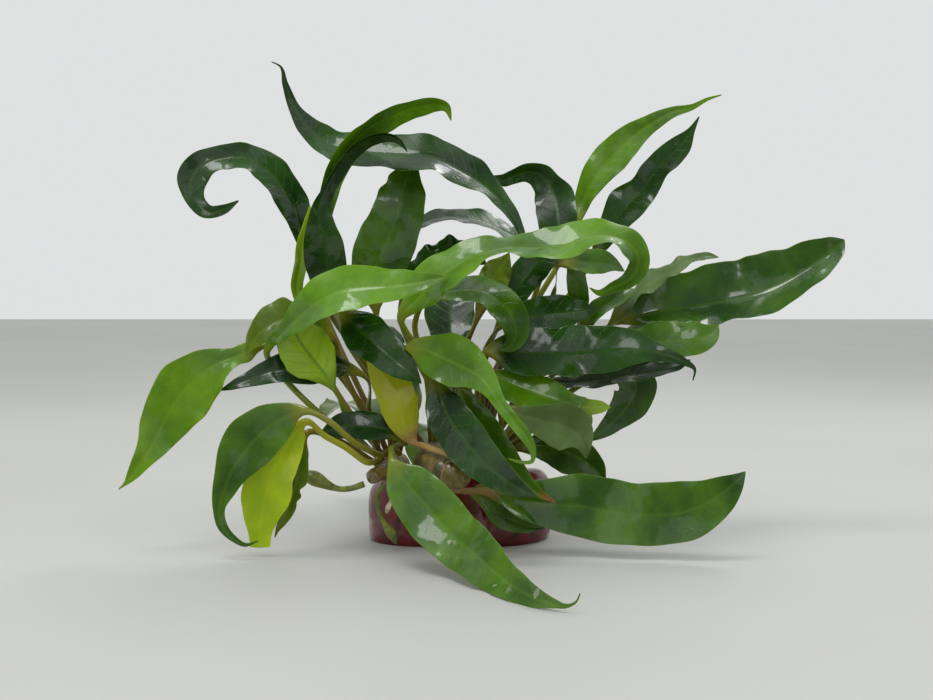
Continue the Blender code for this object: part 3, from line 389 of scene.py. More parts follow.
@dataclass
class Leaf:
    """One leaf with its stalk, laid over the rings of its plain solid."""

    name: str
    slot: str
    look: LeafLook
    vein_gap: float = 5.4
    rib_half: float = 0.85
    rib_height: float = 0.55
    frame: LeafFrame = field(init=False)

    def section(self) -> tuple[Array, Array]:
        """Places round a cross-section.

        Returns:
            across, from 1 over the upper face to -1 and back over the underside, and a mark that is 1 on
            the upper face and -1 on the underside.
        """
        spread = np.cos(np.linspace(0.0, math.pi, HALF_AROUND + 1))
        shaped = 0.72 * spread + 0.28 * spread ** 3
        across = np.concatenate([shaped, shaped[-2:0:-1]])
        face = np.concatenate([np.ones(HALF_AROUND + 1), -np.ones(HALF_AROUND - 1)])
        return across, face

    def margin(self, along: Array, side: Side) -> Array:
        """Share of the half width that a margin keeps: slow waves, less a bell-shaped bite at each notch."""
        phase = self.look.seed + (0.0 if side is Side.RIGHT else 2.1)
        kept = 1.0 + 0.022 * np.sin(17.0 * along + phase) + 0.013 * np.sin(41.0 * along + 2.7 * phase)
        for notch in self.look.notches:
            if notch.side is side:
                kept = kept - notch.depth * np.exp(-((along - notch.along) / notch.width) ** 2)
        return kept

    def build(self, node: bpy.types.Object) -> bpy.types.Object:
        """Make the leaf's fine surface.

        Across the blade the height is a soft channel, a square root curve of the place across, plus margin
        ripples that grow with the fourth power of that place, plus small pads between the side veins. The
        midrib is a groove above and a rib below, each a bell curve of the distance from the middle.

        Args:
            node: the leaf's plain solid.

        Returns:
            The finished object, with what its material reads kept as attributes.
        """
        self.frame = leaf_frame(RingReader(node).rings())
        stations = self.frame
        across, face = self.section()
        length = stations.travelled[-1] - stations.blade_start
        past = (stations.travelled - stations.blade_start) / MM
        along = np.clip((stations.travelled - stations.blade_start) / length, 0.0, 1.0)
        kept = np.where(across[None] > 0, self.margin(along, Side.RIGHT)[:, None],
                        self.margin(along, Side.LEFT)[:, None])
        flat = stations.flat[:, None]
        kept = 1.0 + (kept - 1.0) * flat
        half = stations.half[:, None]
        lateral = across[None] * kept * half
        far = np.abs(across)[None]
        soft = 0.16
        lift = (np.sqrt(far ** 2 + soft ** 2) - soft) / (math.sqrt(1 + soft ** 2) - soft)
        height = stations.channel[:, None] * lift
        phase = self.look.seed * 1.7 + np.where(across[None] > 0, 0.0, 1.9)
        calm = smooth_step(along * 8.0)[:, None] * smooth_step((1.0 - along) * 7.0)[:, None]
        slow = np.sin(2 * math.pi * past[:, None] / self.look.wave + phase)
        quick = np.sin(2 * math.pi * past[:, None] / (self.look.wave * 0.47) + 2.3 * phase)
        room = np.minimum(half / (9.0 * MM), 1.0)
        ripple = self.look.ripple * MM * (slow + 0.35 * quick) * calm * room
        height = height + ripple * far ** 3 - self.look.droop * MM * far ** 2 * calm
        veins = past[:, None] / self.vein_gap - 1.15 * far ** 1.3 * np.minimum(half / (8.0 * MM), 1.5)
        pads = 0.035 * MM * np.cos(2 * math.pi * veins) * np.sin(math.pi * np.minimum(far * 1.05, 1.0)) * flat
        height = height + pads * room
        bulge = np.sqrt(np.maximum(1.0 - across ** 2, 0.0))[None]
        thin = stations.thick[:, None] * (1.0 - 0.30 * flat)
        height = height + face[None] * thin * bulge
        from_rib = np.abs(lateral) / MM
        taper = (1.0 - 0.75 * along)[:, None] * flat
        rib = np.exp(-(from_rib / self.rib_half) ** 2) * taper * MM
        height = height - rib * np.where(face[None] > 0, 0.30, self.rib_height)
        points = (stations.middle[:, None] + stations.side[:, None] * lateral[..., None]
                  + stations.up[:, None] * height[..., None])
        start = 2 * points[0].mean(axis=0) - points[1].mean(axis=0)
        tip = points[-1].mean(axis=0) + unit(points[-1].mean(axis=0) - points[-2].mean(axis=0)) * 0.4 * MM
        mesh = grid_mesh(self.name + "_fine", points, start, tip)
        shape = points.shape[:2]
        values = {"along": np.broadcast_to(along[:, None], shape), "across": np.broadcast_to(across, shape),
                  "upper": np.broadcast_to(face, shape), "blade": np.broadcast_to(flat, shape),
                  "rib_mm": from_rib, "vein_turn": veins, "stalk_mm": np.broadcast_to(past[:, None], shape)}
        for name, grid in values.items():
            ends = [grid[0].mean(), grid[-1].mean()]
            write_attribute(mesh, name, np.concatenate([grid.reshape(-1), ends]))
        piece = bpy.data.objects.new(self.name + "_fine", mesh)
        bpy.context.scene.collection.objects.link(piece)
        piece.data.materials.append(leaf_material(self))
        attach(piece, "root")
        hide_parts(self.name)
        return piece


class Graph:
    """A node tree with short calls for what the finishes here need."""

    def __init__(self, tree: bpy.types.NodeTree) -> None:
        """Keep the tree that the calls add to."""
        self.tree = tree

    def node(self, kind: str, **settings: object) -> bpy.types.Node:
        """Add a node of a kind and set its own settings."""
        made = self.tree.nodes.new(kind)
        for key, value in settings.items():
            setattr(made, key, value)
        return made

    def join(self, source: object, socket: bpy.types.NodeSocket) -> None:
        """Feed a socket from another one, or set it to a plain value."""
        if isinstance(source, bpy.types.NodeSocket):
            self.tree.links.new(source, socket)
        else:
            socket.default_value = source

    def math(self, operation: str, first: object, second: object = 0.0,
             third: object = 0.0) -> bpy.types.NodeSocket:
        """Result of one arithmetic step on values or sockets."""
        made = self.node("ShaderNodeMath", operation=operation)
        for source, socket in zip((first, second, third), made.inputs):
            self.join(source, socket)
        return made.outputs[0]

    def ramp(self, value: object, low: float, high: float, to_low: float = 0.0,
             to_high: float = 1.0) -> bpy.types.NodeSocket:
        """Smooth change from to_low to to_high as the value goes from low to high."""
        made = self.node("ShaderNodeMapRange", interpolation_type="SMOOTHSTEP")
        for source, socket in zip((value, low, high, to_low, to_high), made.inputs):
            self.join(source, socket)
        return made.outputs[0]

    def mix(self, share: object, first: object, second: object) -> bpy.types.NodeSocket:
        """Colour between two colours."""
        made = self.node("ShaderNodeMix", data_type="RGBA")
        self.join(share, made.inputs["Factor"])
        for source, socket in ((first, made.inputs["A"]), (second, made.inputs["B"])):
            pass
        colours = [socket for socket in made.inputs if socket.type == "RGBA"]
        for source, socket in zip((first, second), colours):
            self.join(source if isinstance(source, bpy.types.NodeSocket) else (*source[:3], 1.0), socket)
        return [socket for socket in made.outputs if socket.type == "RGBA"][0]

    def noise(self, vector: object, scale: object, detail: float = 3.0,
              roughness: float = 0.5) -> bpy.types.NodeSocket:
        """Noise value over a vector."""
        made = self.node("ShaderNodeTexNoise")
        self.join(vector, made.inputs["Vector"])
        self.join(scale, made.inputs["Scale"])
        made.inputs["Detail"].default_value = detail
        made.inputs["Roughness"].default_value = roughness
        return made.outputs[0]

    def attribute(self, name: str) -> bpy.types.NodeSocket:
        """The piece's own value of this name."""
        return self.node("ShaderNodeAttribute", attribute_name=name).outputs["Fac"]

    def place(self) -> bpy.types.NodeSocket:
        """Object coordinates, which are metres in the part's frame."""
        return self.node("ShaderNodeTexCoord").outputs["Object"]


def new_group(name: str, inputs: dict[str, object], outputs: dict[str, str]) -> tuple[object, Graph, object, object]:
    """Start a shader node group with named sockets.

    Args:
        name: the group's name.
        inputs: default of each input; a number makes a value and three numbers a colour.
        outputs: socket type of each output.

    Returns:
        The group, its graph, its input node and its output node.
    """
    tree = bpy.data.node_groups.new(name, "ShaderNodeTree")
    for key, default in inputs.items():
        is_colour = isinstance(default, tuple)
        kind = "NodeSocketColor" if is_colour else "NodeSocketFloat"
        socket = tree.interface.new_socket(name=key, in_out="INPUT", socket_type=kind)
        socket.default_value = (*default, 1.0) if is_colour else default
    for key, kind in outputs.items():
        tree.interface.new_socket(name=key, in_out="OUTPUT", socket_type=kind)
    graph = Graph(tree)
    return tree, graph, graph.node("NodeGroupInput"), graph.node("NodeGroupOutput")


def leaf_skin_group() -> bpy.types.NodeTree:
    """Colour and relief of leaf skin: mottled green, net of veins, midrib, a pale margin rim that is a painted edge
    highlight, pale flecks that are partly algae and partly painted glints, and a browned tip.
    """
    if "leaf_skin" in bpy.data.node_groups:
        return bpy.data.node_groups["leaf_skin"]
    inputs = {"Deep": (0.01, 0.05, 0.005), "Lush": (0.03, 0.1, 0.01), "Under": (0.1, 0.2, 0.02),
              "Vein": (0.1, 0.2, 0.02), "Stalk": (0.2, 0.2, 0.02), "Vein Show": 0.4, "Mottle": 0.5,
              "Spots And Glints": 0.0, "Browning": 0.0, "Brown Tip": 0.0, "Shift": 0.0}
    tree, g, start, end = new_group("leaf_skin", inputs, {"Color": "NodeSocketColor",
                                                          "Height": "NodeSocketFloat"})
    inp = start.outputs
    place = g.place()
    moved = g.node("ShaderNodeVectorMath", operation="ADD")
    g.join(place, moved.inputs[0])
    shift = g.node("ShaderNodeCombineXYZ")
    g.join(inp["Shift"], shift.inputs[0])
    g.join(shift.outputs[0], moved.inputs[1])
    spot_place = moved.outputs[0]
    broad = g.noise(spot_place, 38.0, 3.0)
    fine = g.noise(spot_place, 260.0, 4.0, 0.6)
    across = g.math("ABSOLUTE", g.attribute("across"))
    along = g.attribute("along")
    toward_margin = g.math("MULTIPLY", g.ramp(across, 0.35, 1.0), 0.25)
    lush = g.math("ADD", g.ramp(broad, 0.36, 0.66), toward_margin)
    lush = g.math("MULTIPLY", lush, g.math("MULTIPLY_ADD", g.ramp(fine, 0.3, 0.7), 0.3, 0.75))
    colour = g.mix(g.math("MULTIPLY", lush, g.math("ADD", inp["Mottle"], 0.5)), inp["Deep"], inp["Lush"])
    turn = g.attribute("vein_turn")
    wobble = g.math("MULTIPLY_ADD", g.noise(spot_place, 120.0, 2.0), 0.35, turn)
    off_line = g.math("ABSOLUTE", g.math("SUBTRACT", g.math("FRACT", wobble), 0.5))
    side_vein = g.ramp(off_line, 0.045, 0.012)
    side_vein = g.math("MULTIPLY", side_vein, g.ramp(across, 1.0, 0.6))
    cells = g.node("ShaderNodeTexVoronoi", feature="DISTANCE_TO_EDGE")
    g.join(spot_place, cells.inputs["Vector"])
    cells.inputs["Scale"].default_value = 620.0
    net = g.ramp(cells.outputs["Distance"], 0.09, 0.02)
    rib = g.ramp(g.attribute("rib_mm"), 1.0, 0.35)
    vein = g.math("MAXIMUM", g.math("MULTIPLY", side_vein, 0.75), g.math("MULTIPLY", net, 0.22))
    vein = g.math("MULTIPLY", g.math("MAXIMUM", vein, rib), inp["Vein Show"])
    upper = g.ramp(g.attribute("upper"), -0.2, 0.2)
    under = g.mix(g.math("MULTIPLY", lush, 0.5), inp["Under"], inp["Lush"])
    colour = g.mix(upper, under, colour)
    colour = g.mix(vein, colour, inp["Vein"])
    # Painted highlight: a thin pale lime rim along both margins, in the vein colour, stands in for light at the thin
    # leaf edge.
    painted_edge_light = g.math("MULTIPLY", g.ramp(across, 0.955, 0.995), 0.6)
    colour = g.mix(painted_edge_light, colour, inp["Vein"])
    # Pale grey flecks in patches: partly algae and residue on the leaf, partly painted highlights of water drops.
    dots = g.ramp(g.noise(spot_place, 190.0, 2.0, 0.55), 0.60, 0.68)
    patch = g.ramp(g.noise(spot_place, 60.0, 2.0), 0.50, 0.62)
    dots = g.math("MULTIPLY", g.math("MULTIPLY", dots, patch), inp["Spots And Glints"])
    colour = g.mix(dots, colour, (0.42, 0.44, 0.34))
    tan = g.ramp(g.noise(spot_place, 85.0, 3.0), 0.58, 0.72)
    colour = g.mix(g.math("MULTIPLY", tan, inp["Browning"]), colour, (0.30, 0.16, 0.03))
    tip = g.math("MULTIPLY", g.ramp(g.math("MULTIPLY_ADD", fine, 0.1, along), 0.90, 1.02), inp["Brown Tip"])
    colour = g.mix(tip, colour, (0.20, 0.085, 0.02))
    stalk_low = g.ramp(g.attribute("stalk_mm"), -75.0, -15.0)
    base_tint = g.mix(g.math("MULTIPLY", fine, 0.8), (0.16, 0.075, 0.02), (0.12, 0.10, 0.02))
    stalk = g.mix(stalk_low, base_tint, inp["Stalk"])
    colour = g.mix(g.attribute("blade"), stalk, colour)
    g.join(colour, end.inputs["Color"])
    sunk = g.math("MULTIPLY_ADD", side_vein, -0.5, g.math("MULTIPLY", net, -0.12))
    height = g.math("ADD", g.math("MULTIPLY", fine, 0.30), sunk)
    g.join(height, end.inputs["Height"])
    return tree


def wet_film_group() -> bpy.types.NodeTree:
    """Where water lies on a surface: roughness and coat weight that change in patches."""
    if "wet_film" in bpy.data.node_groups:
        return bpy.data.node_groups["wet_film"]
    inputs = {"Roughness": 0.35, "Film": 0.6, "Shift": 0.0}
    tree, g, start, end = new_group("wet_film", inputs, {"Roughness": "NodeSocketFloat",
                                                         "Coat": "NodeSocketFloat",
                                                         "Height": "NodeSocketFloat"})
    inp = start.outputs
    place = g.place()
    moved = g.node("ShaderNodeVectorMath", operation="ADD")
    g.join(place, moved.inputs[0])
    shift = g.node("ShaderNodeCombineXYZ")
    g.join(inp["Shift"], shift.inputs[1])
    g.join(shift.outputs[0], moved.inputs[1])
    patches = g.noise(moved.outputs[0], 55.0, 3.0)
    streaks = g.noise(moved.outputs[0], 420.0, 2.0)
    wet = g.math("MULTIPLY", g.ramp(patches, 0.50, 0.56), inp["Film"])
    drop = g.math("MULTIPLY_ADD", wet, -0.55, 1.0)
    rough = g.math("MULTIPLY", inp["Roughness"], drop)
    g.join(g.math("MULTIPLY_ADD", streaks, 0.08, rough), end.inputs["Roughness"])
    g.join(wet, end.inputs["Coat"])
    beads = g.node("ShaderNodeTexVoronoi", feature="F1")
    g.join(moved.outputs[0], beads.inputs["Vector"])
    beads.inputs["Scale"].default_value = 330.0
    bead = g.math("MULTIPLY", g.ramp(beads.outputs["Distance"], 0.36, 0.12), g.ramp(patches, 0.56, 0.66))
    g.join(bead, end.inputs["Height"])
    return tree


def skin_material(name: str) -> tuple[bpy.types.Material, Graph, bpy.types.Node]:
    """A new material, its graph and its Principled shader."""
    made = bpy.data.materials.new(name)
    made.use_nodes = True
    return made, Graph(made.node_tree), made.node_tree.nodes["Principled BSDF"]


def leaf_material(leaf: Leaf) -> bpy.types.Material:
    """Material of one leaf: the shared skin and wet film groups with this leaf's values."""
    finish = FINISHES[leaf.slot]
    made, g, shader = skin_material(leaf.name)
    skin = g.node("ShaderNodeGroup", node_tree=leaf_skin_group())
    shift = leaf.look.seed * 0.37
    settings = {"Deep": finish.deep, "Lush": finish.lush, "Under": finish.under, "Vein": finish.vein,
                "Stalk": finish.stalk, "Vein Show": finish.vein_show, "Mottle": finish.mottle,
                "Spots And Glints": finish.spots_and_glints, "Browning": finish.browning, "Brown Tip": leaf.look.brown_tip,
                "Shift": shift}
    for key, value in settings.items():
        g.join((*value, 1.0) if isinstance(value, tuple) else value, skin.inputs[key])
    film = g.node("ShaderNodeGroup", node_tree=wet_film_group())
    for key, value in {"Roughness": finish.roughness, "Film": finish.film, "Shift": shift}.items():
        g.join(value, film.inputs[key])
    g.join(skin.outputs["Color"], shader.inputs["Base Color"])
    g.join(film.outputs["Roughness"], shader.inputs["Roughness"])
    g.join(film.outputs["Coat"], shader.inputs["Coat Weight"])
    bump = g.node("ShaderNodeBump")
    bump.inputs["Strength"].default_value = 0.35
    bump.inputs["Distance"].default_value = 0.35 * MM
    g.join(g.math("MULTIPLY_ADD", film.outputs["Height"], 0.6, skin.outputs["Height"]), bump.inputs["Height"])
    g.join(bump.outputs["Normal"], shader.inputs["Normal"])
    shader.inputs["Coat Roughness"].default_value = 0.06
    shader.inputs["Coat IOR"].default_value = 1.5
    shader.inputs["Specular IOR Level"].default_value = 0.22
    shader.inputs["Subsurface Weight"].default_value = 0.0
    return made


def tube_points(route: Array, radii: Array, around: int) -> tuple[Array, Array]:
    """Loops of points round a route.

    Each loop is a circle in the plane square to the route, and its first direction is carried along the
    route without spin.

    Args:
        route: middle line, one row for each loop.
        radii: radius of each loop.
        around: points in a loop.

    Returns:
        Points (loops, around, 3) and the angle of each point in a loop.
    """
    ahead = unit(np.gradient(route, axis=0))
    side = np.empty_like(route)
    guess = np.cross(ahead[0], [0.31, 0.17, 0.93])
    for k, direction in enumerate(ahead):
        guess = guess - np.dot(guess, direction) * direction
        guess = guess / np.linalg.norm(guess)
        side[k] = guess
    other = np.cross(ahead, side)
    angles = np.linspace(0.0, 2 * math.pi, around, endpoint=False)
    spokes = (side[:, None] * np.cos(angles)[None, :, None] + other[:, None] * np.sin(angles)[None, :, None])
    return route[:, None] + spokes * radii[:, None, None], angles


def solid_route(node: bpy.types.Object, loops: int) -> tuple[Array, Array]:
    """Middle line and radius of a tube-shaped solid.

    Its points are sorted by their distance from one end over the joined edges, which gives its loops.

    Args:
        node: the plain solid of a stem or root.
        loops: stations wanted.

    Returns:
        The route and its radii.
    """
    reader = RingReader(node)
    count = len(reader.points)
    caps = [k for k in range(count) if len(reader.links[k]) != 6]
    level = np.full(count, -1)
    start = caps[0] if caps else 0
    spread = reader.points - reader.points.mean(axis=0)
    axis = np.linalg.svd(spread, full_matrices=False)[2][0]
    reach = spread @ axis
    start = int(np.argmin(reach))
    front = {start} | {k for k in reader.links[start]
                       if np.linalg.norm(reader.points[k] - reader.points[start]) < 12 * MM
                       and abs(reach[k] - reach[start]) < 1.0 * MM}
    step = 0
    while front:
        for k in front:
            level[k] = step
        front = {n for k in front for n in reader.links[k] if level[n] < 0}
        step += 1
    middles = np.array([reader.points[level == k].mean(axis=0) for k in range(step)])
    sizes = np.array([np.linalg.norm(reader.points[level == k] - middles[k], axis=1).mean()
                      for k in range(step)])
    places = np.concatenate([[0.0], np.cumsum(np.linalg.norm(np.diff(middles, axis=0), axis=1))])
    keep = np.concatenate([[True], np.diff(places) > 0.2 * MM])
    where = np.linspace(0.0, places[keep][-1], loops)
    fine = through(np.concatenate([middles[keep], sizes[keep][:, None]], axis=1), places[keep], where)
    return fine[:, :3], fine[:, 3]


@dataclass(frozen=True)
class BarkFinish:
    """Colours of a creeping stem or root."""

    dark: Colour
    light: Colour
    scar: Colour
    roughness: float


BARK = {
    "rhizome": BarkFinish((0.060, 0.050, 0.010), (0.20, 0.16, 0.03), (0.30, 0.14, 0.05), 0.42),
    "root": BarkFinish((0.090, 0.120, 0.012), (0.22, 0.26, 0.03), (0.16, 0.12, 0.03), 0.38),
    "cream": BarkFinish((0.34, 0.30, 0.17), (0.62, 0.58, 0.42), (0.28, 0.26, 0.08), 0.40),
}


def bark_group() -> bpy.types.NodeTree:
    """Colour and relief of stems and roots: rings of old leaf scars over a streaked ground."""
    if "stem_skin" in bpy.data.node_groups:
        return bpy.data.node_groups["stem_skin"]
    inputs = {"Dark": (0.05, 0.05, 0.01), "Light": (0.2, 0.15, 0.03), "Scar": (0.3, 0.15, 0.05)}
    tree, g, start, end = new_group("stem_skin", inputs, {"Color": "NodeSocketColor",
                                                          "Height": "NodeSocketFloat"})
    inp = start.outputs
    place = g.place()
    broad = g.noise(place, 150.0, 4.0, 0.6)
    fine = g.noise(place, 900.0, 3.0)
    colour = g.mix(g.ramp(broad, 0.35, 0.68), inp["Dark"], inp["Light"])
    ring = g.math("FRACT", g.math("MULTIPLY_ADD", broad, 0.5, g.attribute("ring_turn")))
    scar = g.ramp(g.math("ABSOLUTE", g.math("SUBTRACT", ring, 0.5)), 0.10, 0.03)
    colour = g.mix(g.math("MULTIPLY", scar, 0.7), colour, inp["Scar"])
    g.join(colour, end.inputs["Color"])
    g.join(g.math("MULTIPLY_ADD", scar, -0.6, g.math("ADD", broad, g.math("MULTIPLY", fine, 0.3))),
           end.inputs["Height"])
    return tree


@dataclass
class Stem:
    """A creeping stem or a root: a knobbly tube over its plain solid."""

    name: str
    slot: str
    loops: int = 90
    around: int = 24
    knob: float = 0.05
    ring_gap: float = 4.5

    def build(self, node: bpy.types.Object) -> bpy.types.Object:
        """Make the tube.

        The radius is the solid's own times one plus rings that swell along the route and lumps that change
        round it.

        Args:
            node: the plain solid.

        Returns:
            The finished object.
        """
        route, radii = solid_route(node, self.loops)
        travelled = np.concatenate([[0.0], np.cumsum(np.linalg.norm(np.diff(route, axis=0), axis=1))]) / MM
        points, angles = tube_points(route, radii, self.around)
        turns = travelled / self.ring_gap
        swell = 1.0 + self.knob * np.cos(2 * math.pi * turns)[:, None]
        lumps = self.knob * 0.8 * np.sin(3 * angles[None] + 0.9 * turns[:, None])
        points = route[:, None] + (points - route[:, None]) * (swell + lumps)[..., None]
        mesh = grid_mesh(self.name + "_fine", points, route[0], route[-1])
        values = np.broadcast_to(turns[:, None], points.shape[:2]).reshape(-1)
        write_attribute(mesh, "ring_turn", np.concatenate([values, [turns[0], turns[-1]]]))
        piece = bpy.data.objects.new(self.name + "_fine", mesh)
        bpy.context.scene.collection.objects.link(piece)
        piece.data.materials.append(self.material())
        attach(piece, "root")
        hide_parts(self.name)
        return piece

    def material(self) -> bpy.types.Material:
        """Material of this stem: the shared bark and wet film groups."""
        finish = BARK[self.slot]
        made, g, shader = skin_material(self.name)
        bark = g.node("ShaderNodeGroup", node_tree=bark_group())
        for key, value in {"Dark": finish.dark, "Light": finish.light, "Scar": finish.scar}.items():
            g.join((*value, 1.0), bark.inputs[key])
        film = g.node("ShaderNodeGroup", node_tree=wet_film_group())
        for key, value in {"Roughness": finish.roughness, "Film": 0.7, "Shift": 0.4}.items():
            g.join(value, film.inputs[key])
        g.join(bark.outputs["Color"], shader.inputs["Base Color"])
        g.join(film.outputs["Roughness"], shader.inputs["Roughness"])
        g.join(film.outputs["Coat"], shader.inputs["Coat Weight"])
        bump = g.node("ShaderNodeBump")
        bump.inputs["Strength"].default_value = 0.6
        bump.inputs["Distance"].default_value = 0.5 * MM
        g.join(bark.outputs["Height"], bump.inputs["Height"])
        g.join(bump.outputs["Normal"], shader.inputs["Normal"])
        shader.inputs["Coat Roughness"].default_value = 0.08
        shader.inputs["Coat IOR"].default_value = 1.33
        return made


@dataclass
class Stone:
    """The low dark red stone: a rounded square in plan, drawn in at the top, on a flat underside."""

    half_width: float = 41.2
    half_depth: float = 32.8
    height: float = 28.1
    rise_right: float = 0.070
    rise_front: float = 0.110
    squareness: float = 2.7
    around: int = 240

    def top(self, x: Array, y: Array) -> Array:
        """Height of the top in mm, which rises to the right and to the front."""
        return self.height + self.rise_right * x - self.rise_front * y

    def build(self, slot: str) -> bpy.types.Object:
        """Make the stone.

        In plan it is a superellipse with slow waves. From the underside up, the outline is drawn in by a
        share read from a smooth curve, and the height follows the sloping top.

        Args:
            slot: material slot of the record; not used.

        Returns:
            The finished object.
        """
        profile = np.array([[0.0, 0.945], [0.0, 0.958], [0.05, 0.985], [0.2, 0.998], [0.5, 0.998],
                            [0.78, 0.983], [0.92, 0.938], [0.985, 0.858], [0.999, 0.74], [1.0, 0.4],
                            [1.0, 0.05]])
        places = np.arange(len(profile), dtype=float)
        levels = through(profile, places, np.linspace(0.0, places[-1], 90))
        angles = np.linspace(0.0, 2 * math.pi, self.around, endpoint=False)
        cosine, sine = np.cos(angles), np.sin(angles)
        reach = (np.abs(cosine) ** self.squareness + np.abs(sine) ** self.squareness) ** (-1 / self.squareness)
        reach = reach * (1 + 0.012 * np.sin(3 * angles + 0.8) + 0.010 * np.cos(5 * angles))
        draw = np.minimum(levels[:, 1], 0.9985)[:, None]
        x = self.half_width * reach * cosine * draw
        y = self.half_depth * reach * sine * draw
        share = np.clip(levels[:, 0], 0.0, 1.0)[:, None]
        dents = 0.35 * np.sin(7 * angles + 5 * share) * np.sin(math.pi * share)
        z = self.top(x, y) * share + dents * share * (1 - share) * 2
        cleft = np.exp(-((angles[None] - (4.98 + 0.10 * share)) / 0.035) ** 2) * np.sin(math.pi * share) ** 0.5
        shrink = 1 - 0.018 * cleft
        points = np.stack([x * shrink, y * shrink, z], axis=-1) * MM
        start = np.array([0.0, 0.0, 0.0])
        end = np.array([0.0, 0.0, self.top(np.zeros(1), np.zeros(1))[0] * MM])
        mesh = grid_mesh("stone_fine", points, start, end)
        piece = bpy.data.objects.new("stone_fine", mesh)
        bpy.context.scene.collection.objects.link(piece)
        piece.data.materials.append(self.material())
        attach(piece, "root")
        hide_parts("stone")
        return piece

    def material(self) -> bpy.types.Material:
        """Dark red, smooth and wet, mottled, with darker clefts, pale pink speckles that are partly the stone's own
        lighter grains and partly painted glints, and a mauve grazing edge from its coat.
        """
        made, g, shader = skin_material("stone")
        place = g.place()
        broad = g.noise(place, 55.0, 5.0, 0.6)
        fine = g.noise(place, 700.0, 3.0)
        colour = g.mix(g.ramp(broad, 0.30, 0.70), (0.050, 0.0012, 0.002), (0.165, 0.004, 0.008))
        crack = g.node("ShaderNodeTexVoronoi", feature="DISTANCE_TO_EDGE")
        g.join(place, crack.inputs["Vector"])
        crack.inputs["Scale"].default_value = 28.0
        dark = g.math("MULTIPLY", g.ramp(crack.outputs["Distance"], 0.05, 0.0), g.ramp(broad, 0.45, 0.60))
        colour = g.mix(dark, colour, (0.008, 0.002, 0.003))
        # Pale pink speckles: partly lighter grains of the stone, partly painted highlights of small wet glints.
        colour = g.mix(g.math("MULTIPLY", g.ramp(fine, 0.60, 0.75), 0.25), colour, (0.25, 0.03, 0.04))
        film = g.node("ShaderNodeGroup", node_tree=wet_film_group())
        for key, value in {"Roughness": 0.28, "Film": 0.9, "Shift": 0.9}.items():
            g.join(value, film.inputs[key])
        g.join(colour, shader.inputs["Base Color"])
        g.join(film.outputs["Roughness"], shader.inputs["Roughness"])
        g.join(film.outputs["Coat"], shader.inputs["Coat Weight"])
        bump = g.node("ShaderNodeBump")
        bump.inputs["Strength"].default_value = 0.35
        bump.inputs["Distance"].default_value = 0.6 * MM
        g.join(g.math("SUBTRACT", broad, g.math("MULTIPLY", dark, 0.6)), bump.inputs["Height"])
        g.join(bump.outputs["Normal"], shader.inputs["Normal"])
        shader.inputs["Coat Roughness"].default_value = 0.05
        shader.inputs["Coat IOR"].default_value = 1.45
        return made


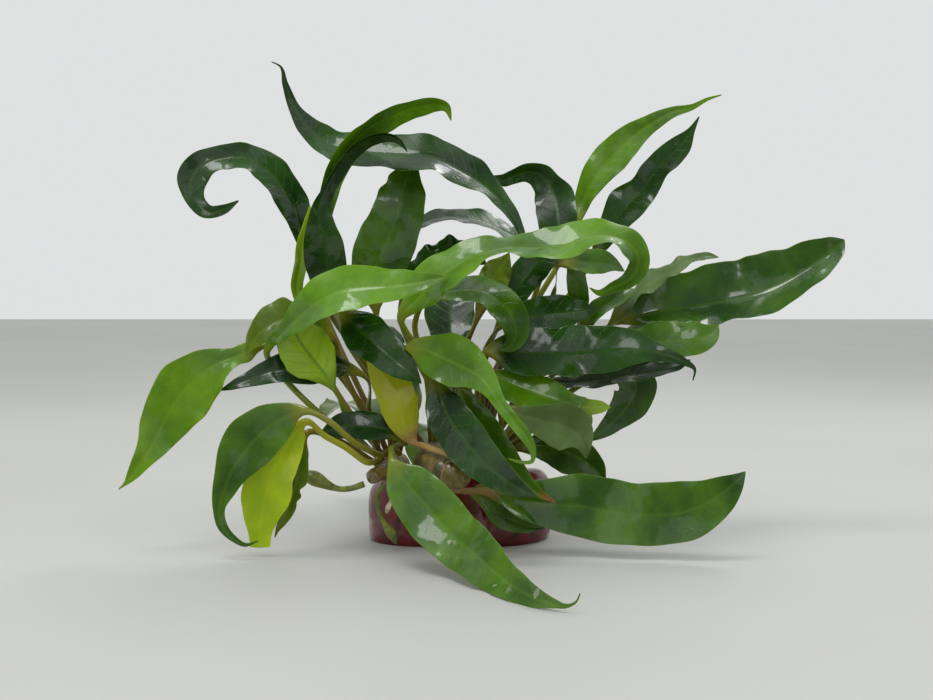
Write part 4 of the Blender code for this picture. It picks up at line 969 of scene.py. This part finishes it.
@dataclass
class Studio:
    """Pale floor, soft lights and the photograph's camera."""

    floor_half: float = 3.0
    floor_colour: Colour = (0.52, 0.52, 0.49)
    sky_colour: Colour = (0.80, 0.82, 0.82)
    sky_strength: float = 0.92
    eye: tuple[float, float, float] = (0.0038, -0.700, 0.1207)
    pitch_down: float = 3.0
    lens: float = 60.02

    def build(self) -> None:
        """Make the floor, the world, the lights and the camera."""
        self.floor()
        self.world()
        self.softbox("key", (-0.30, -0.25, 1.00), (0.0, 0.0, 0.08), 0.42, 4.0)
        self.softbox("back", (0.35, 0.60, 0.85), (0.0, 0.0, 0.10), 0.36, 2.2)
        self.softbox("front", (0.30, -1.00, 0.75), (0.0, 0.0, 0.08), 0.30, 1.2)
        self.camera()

    def floor(self) -> None:
        """A plain pale floor with a faint change of tone."""
        size = self.floor_half
        mesh = bpy.data.meshes.new("floor")
        mesh.from_pydata([(-size, -size, 0), (size, -size, 0), (size, size, 0), (-size, size, 0)], [],
                         [(0, 1, 2, 3)])
        piece = bpy.data.objects.new("floor", mesh)
        bpy.context.scene.collection.objects.link(piece)
        made, g, shader = skin_material("floor")
        tone = g.mix(g.ramp(g.noise(g.place(), 3.0), 0.3, 0.7), self.floor_colour,
                     tuple(0.94 * part for part in self.floor_colour))
        g.join(tone, shader.inputs["Base Color"])
        shader.inputs["Roughness"].default_value = 0.6
        mesh.materials.append(made)

    def world(self) -> None:
        """Even pale surroundings."""
        world = bpy.data.worlds.new("studio")
        world.use_nodes = True
        back = world.node_tree.nodes["Background"]
        back.inputs["Color"].default_value = (*self.sky_colour, 1.0)
        back.inputs["Strength"].default_value = self.sky_strength
        bpy.context.scene.world = world

    def softbox(self, name: str, place: tuple[float, float, float], target: tuple[float, float, float],
                size: float, power: float) -> None:
        """A square light at a place, turned to a target.

        Args:
            name: the light's name.
            place: where it stands.
            target: what it looks at.
            size: side of the square.
            power: its power in watts.
        """
        light = bpy.data.lights.new(name, "AREA")
        light.shape = "SQUARE"
        light.size = size
        light.energy = power
        piece = bpy.data.objects.new(name, light)
        piece.location = place
        from mathutils import Vector
        aim = Vector(target) - Vector(place)
        piece.rotation_euler = aim.to_track_quat("-Z", "Y").to_euler()
        bpy.context.scene.collection.objects.link(piece)

    def camera(self) -> None:
        """The photograph's viewpoint: level with the clump's middle, a little down, straight on."""
        data = bpy.data.cameras.new("camera")
        data.lens = self.lens
        data.sensor_width = 36.0
        data.clip_start = 0.05
        data.clip_end = 50.0
        piece = bpy.data.objects.new("camera", data)
        piece.location = self.eye
        piece.rotation_euler = (math.radians(90.0 - self.pitch_down), 0.0, 0.0)
        bpy.context.scene.collection.objects.link(piece)
        bpy.context.scene.camera = piece
        bpy.context.scene.view_settings.view_transform = "Standard"


def main() -> None:
    """Build every piece of the plant, its stone and the studio round them."""
    logging.basicConfig(level=logging.INFO, format="%(name)s: %(message)s")
    slots = {entry["node"]: entry["material_slot"] for entry in frame["record"]["subparts"]}
    nodes = frame["nodes"]
    for number, name in enumerate(sorted(nodes)):
        node = nodes[name]
        slot = slots[name]
        if name.startswith("leaf_"):
            known = LOOKS.get(name, LeafLook())
            look = LeafLook(known.ripple, known.wave, known.droop, 0.9 * number, known.notches, known.brown_tip)
            piece = Leaf(name, slot, look).build(node)
        elif name == "stone":
            piece = Stone().build(slot)
        elif name.startswith("rhizome_"):
            piece = Stem(name, slot).build(node)
        else:
            piece = Stem(name, slot, loops=60, around=14, knob=0.03, ring_gap=7.0).build(node)
        node.hide_render = True
        node.hide_viewport = True
        log.info("%s: %d points", piece.name, len(piece.data.vertices))
    Studio().build()


if __name__ == "__main__":
    main()
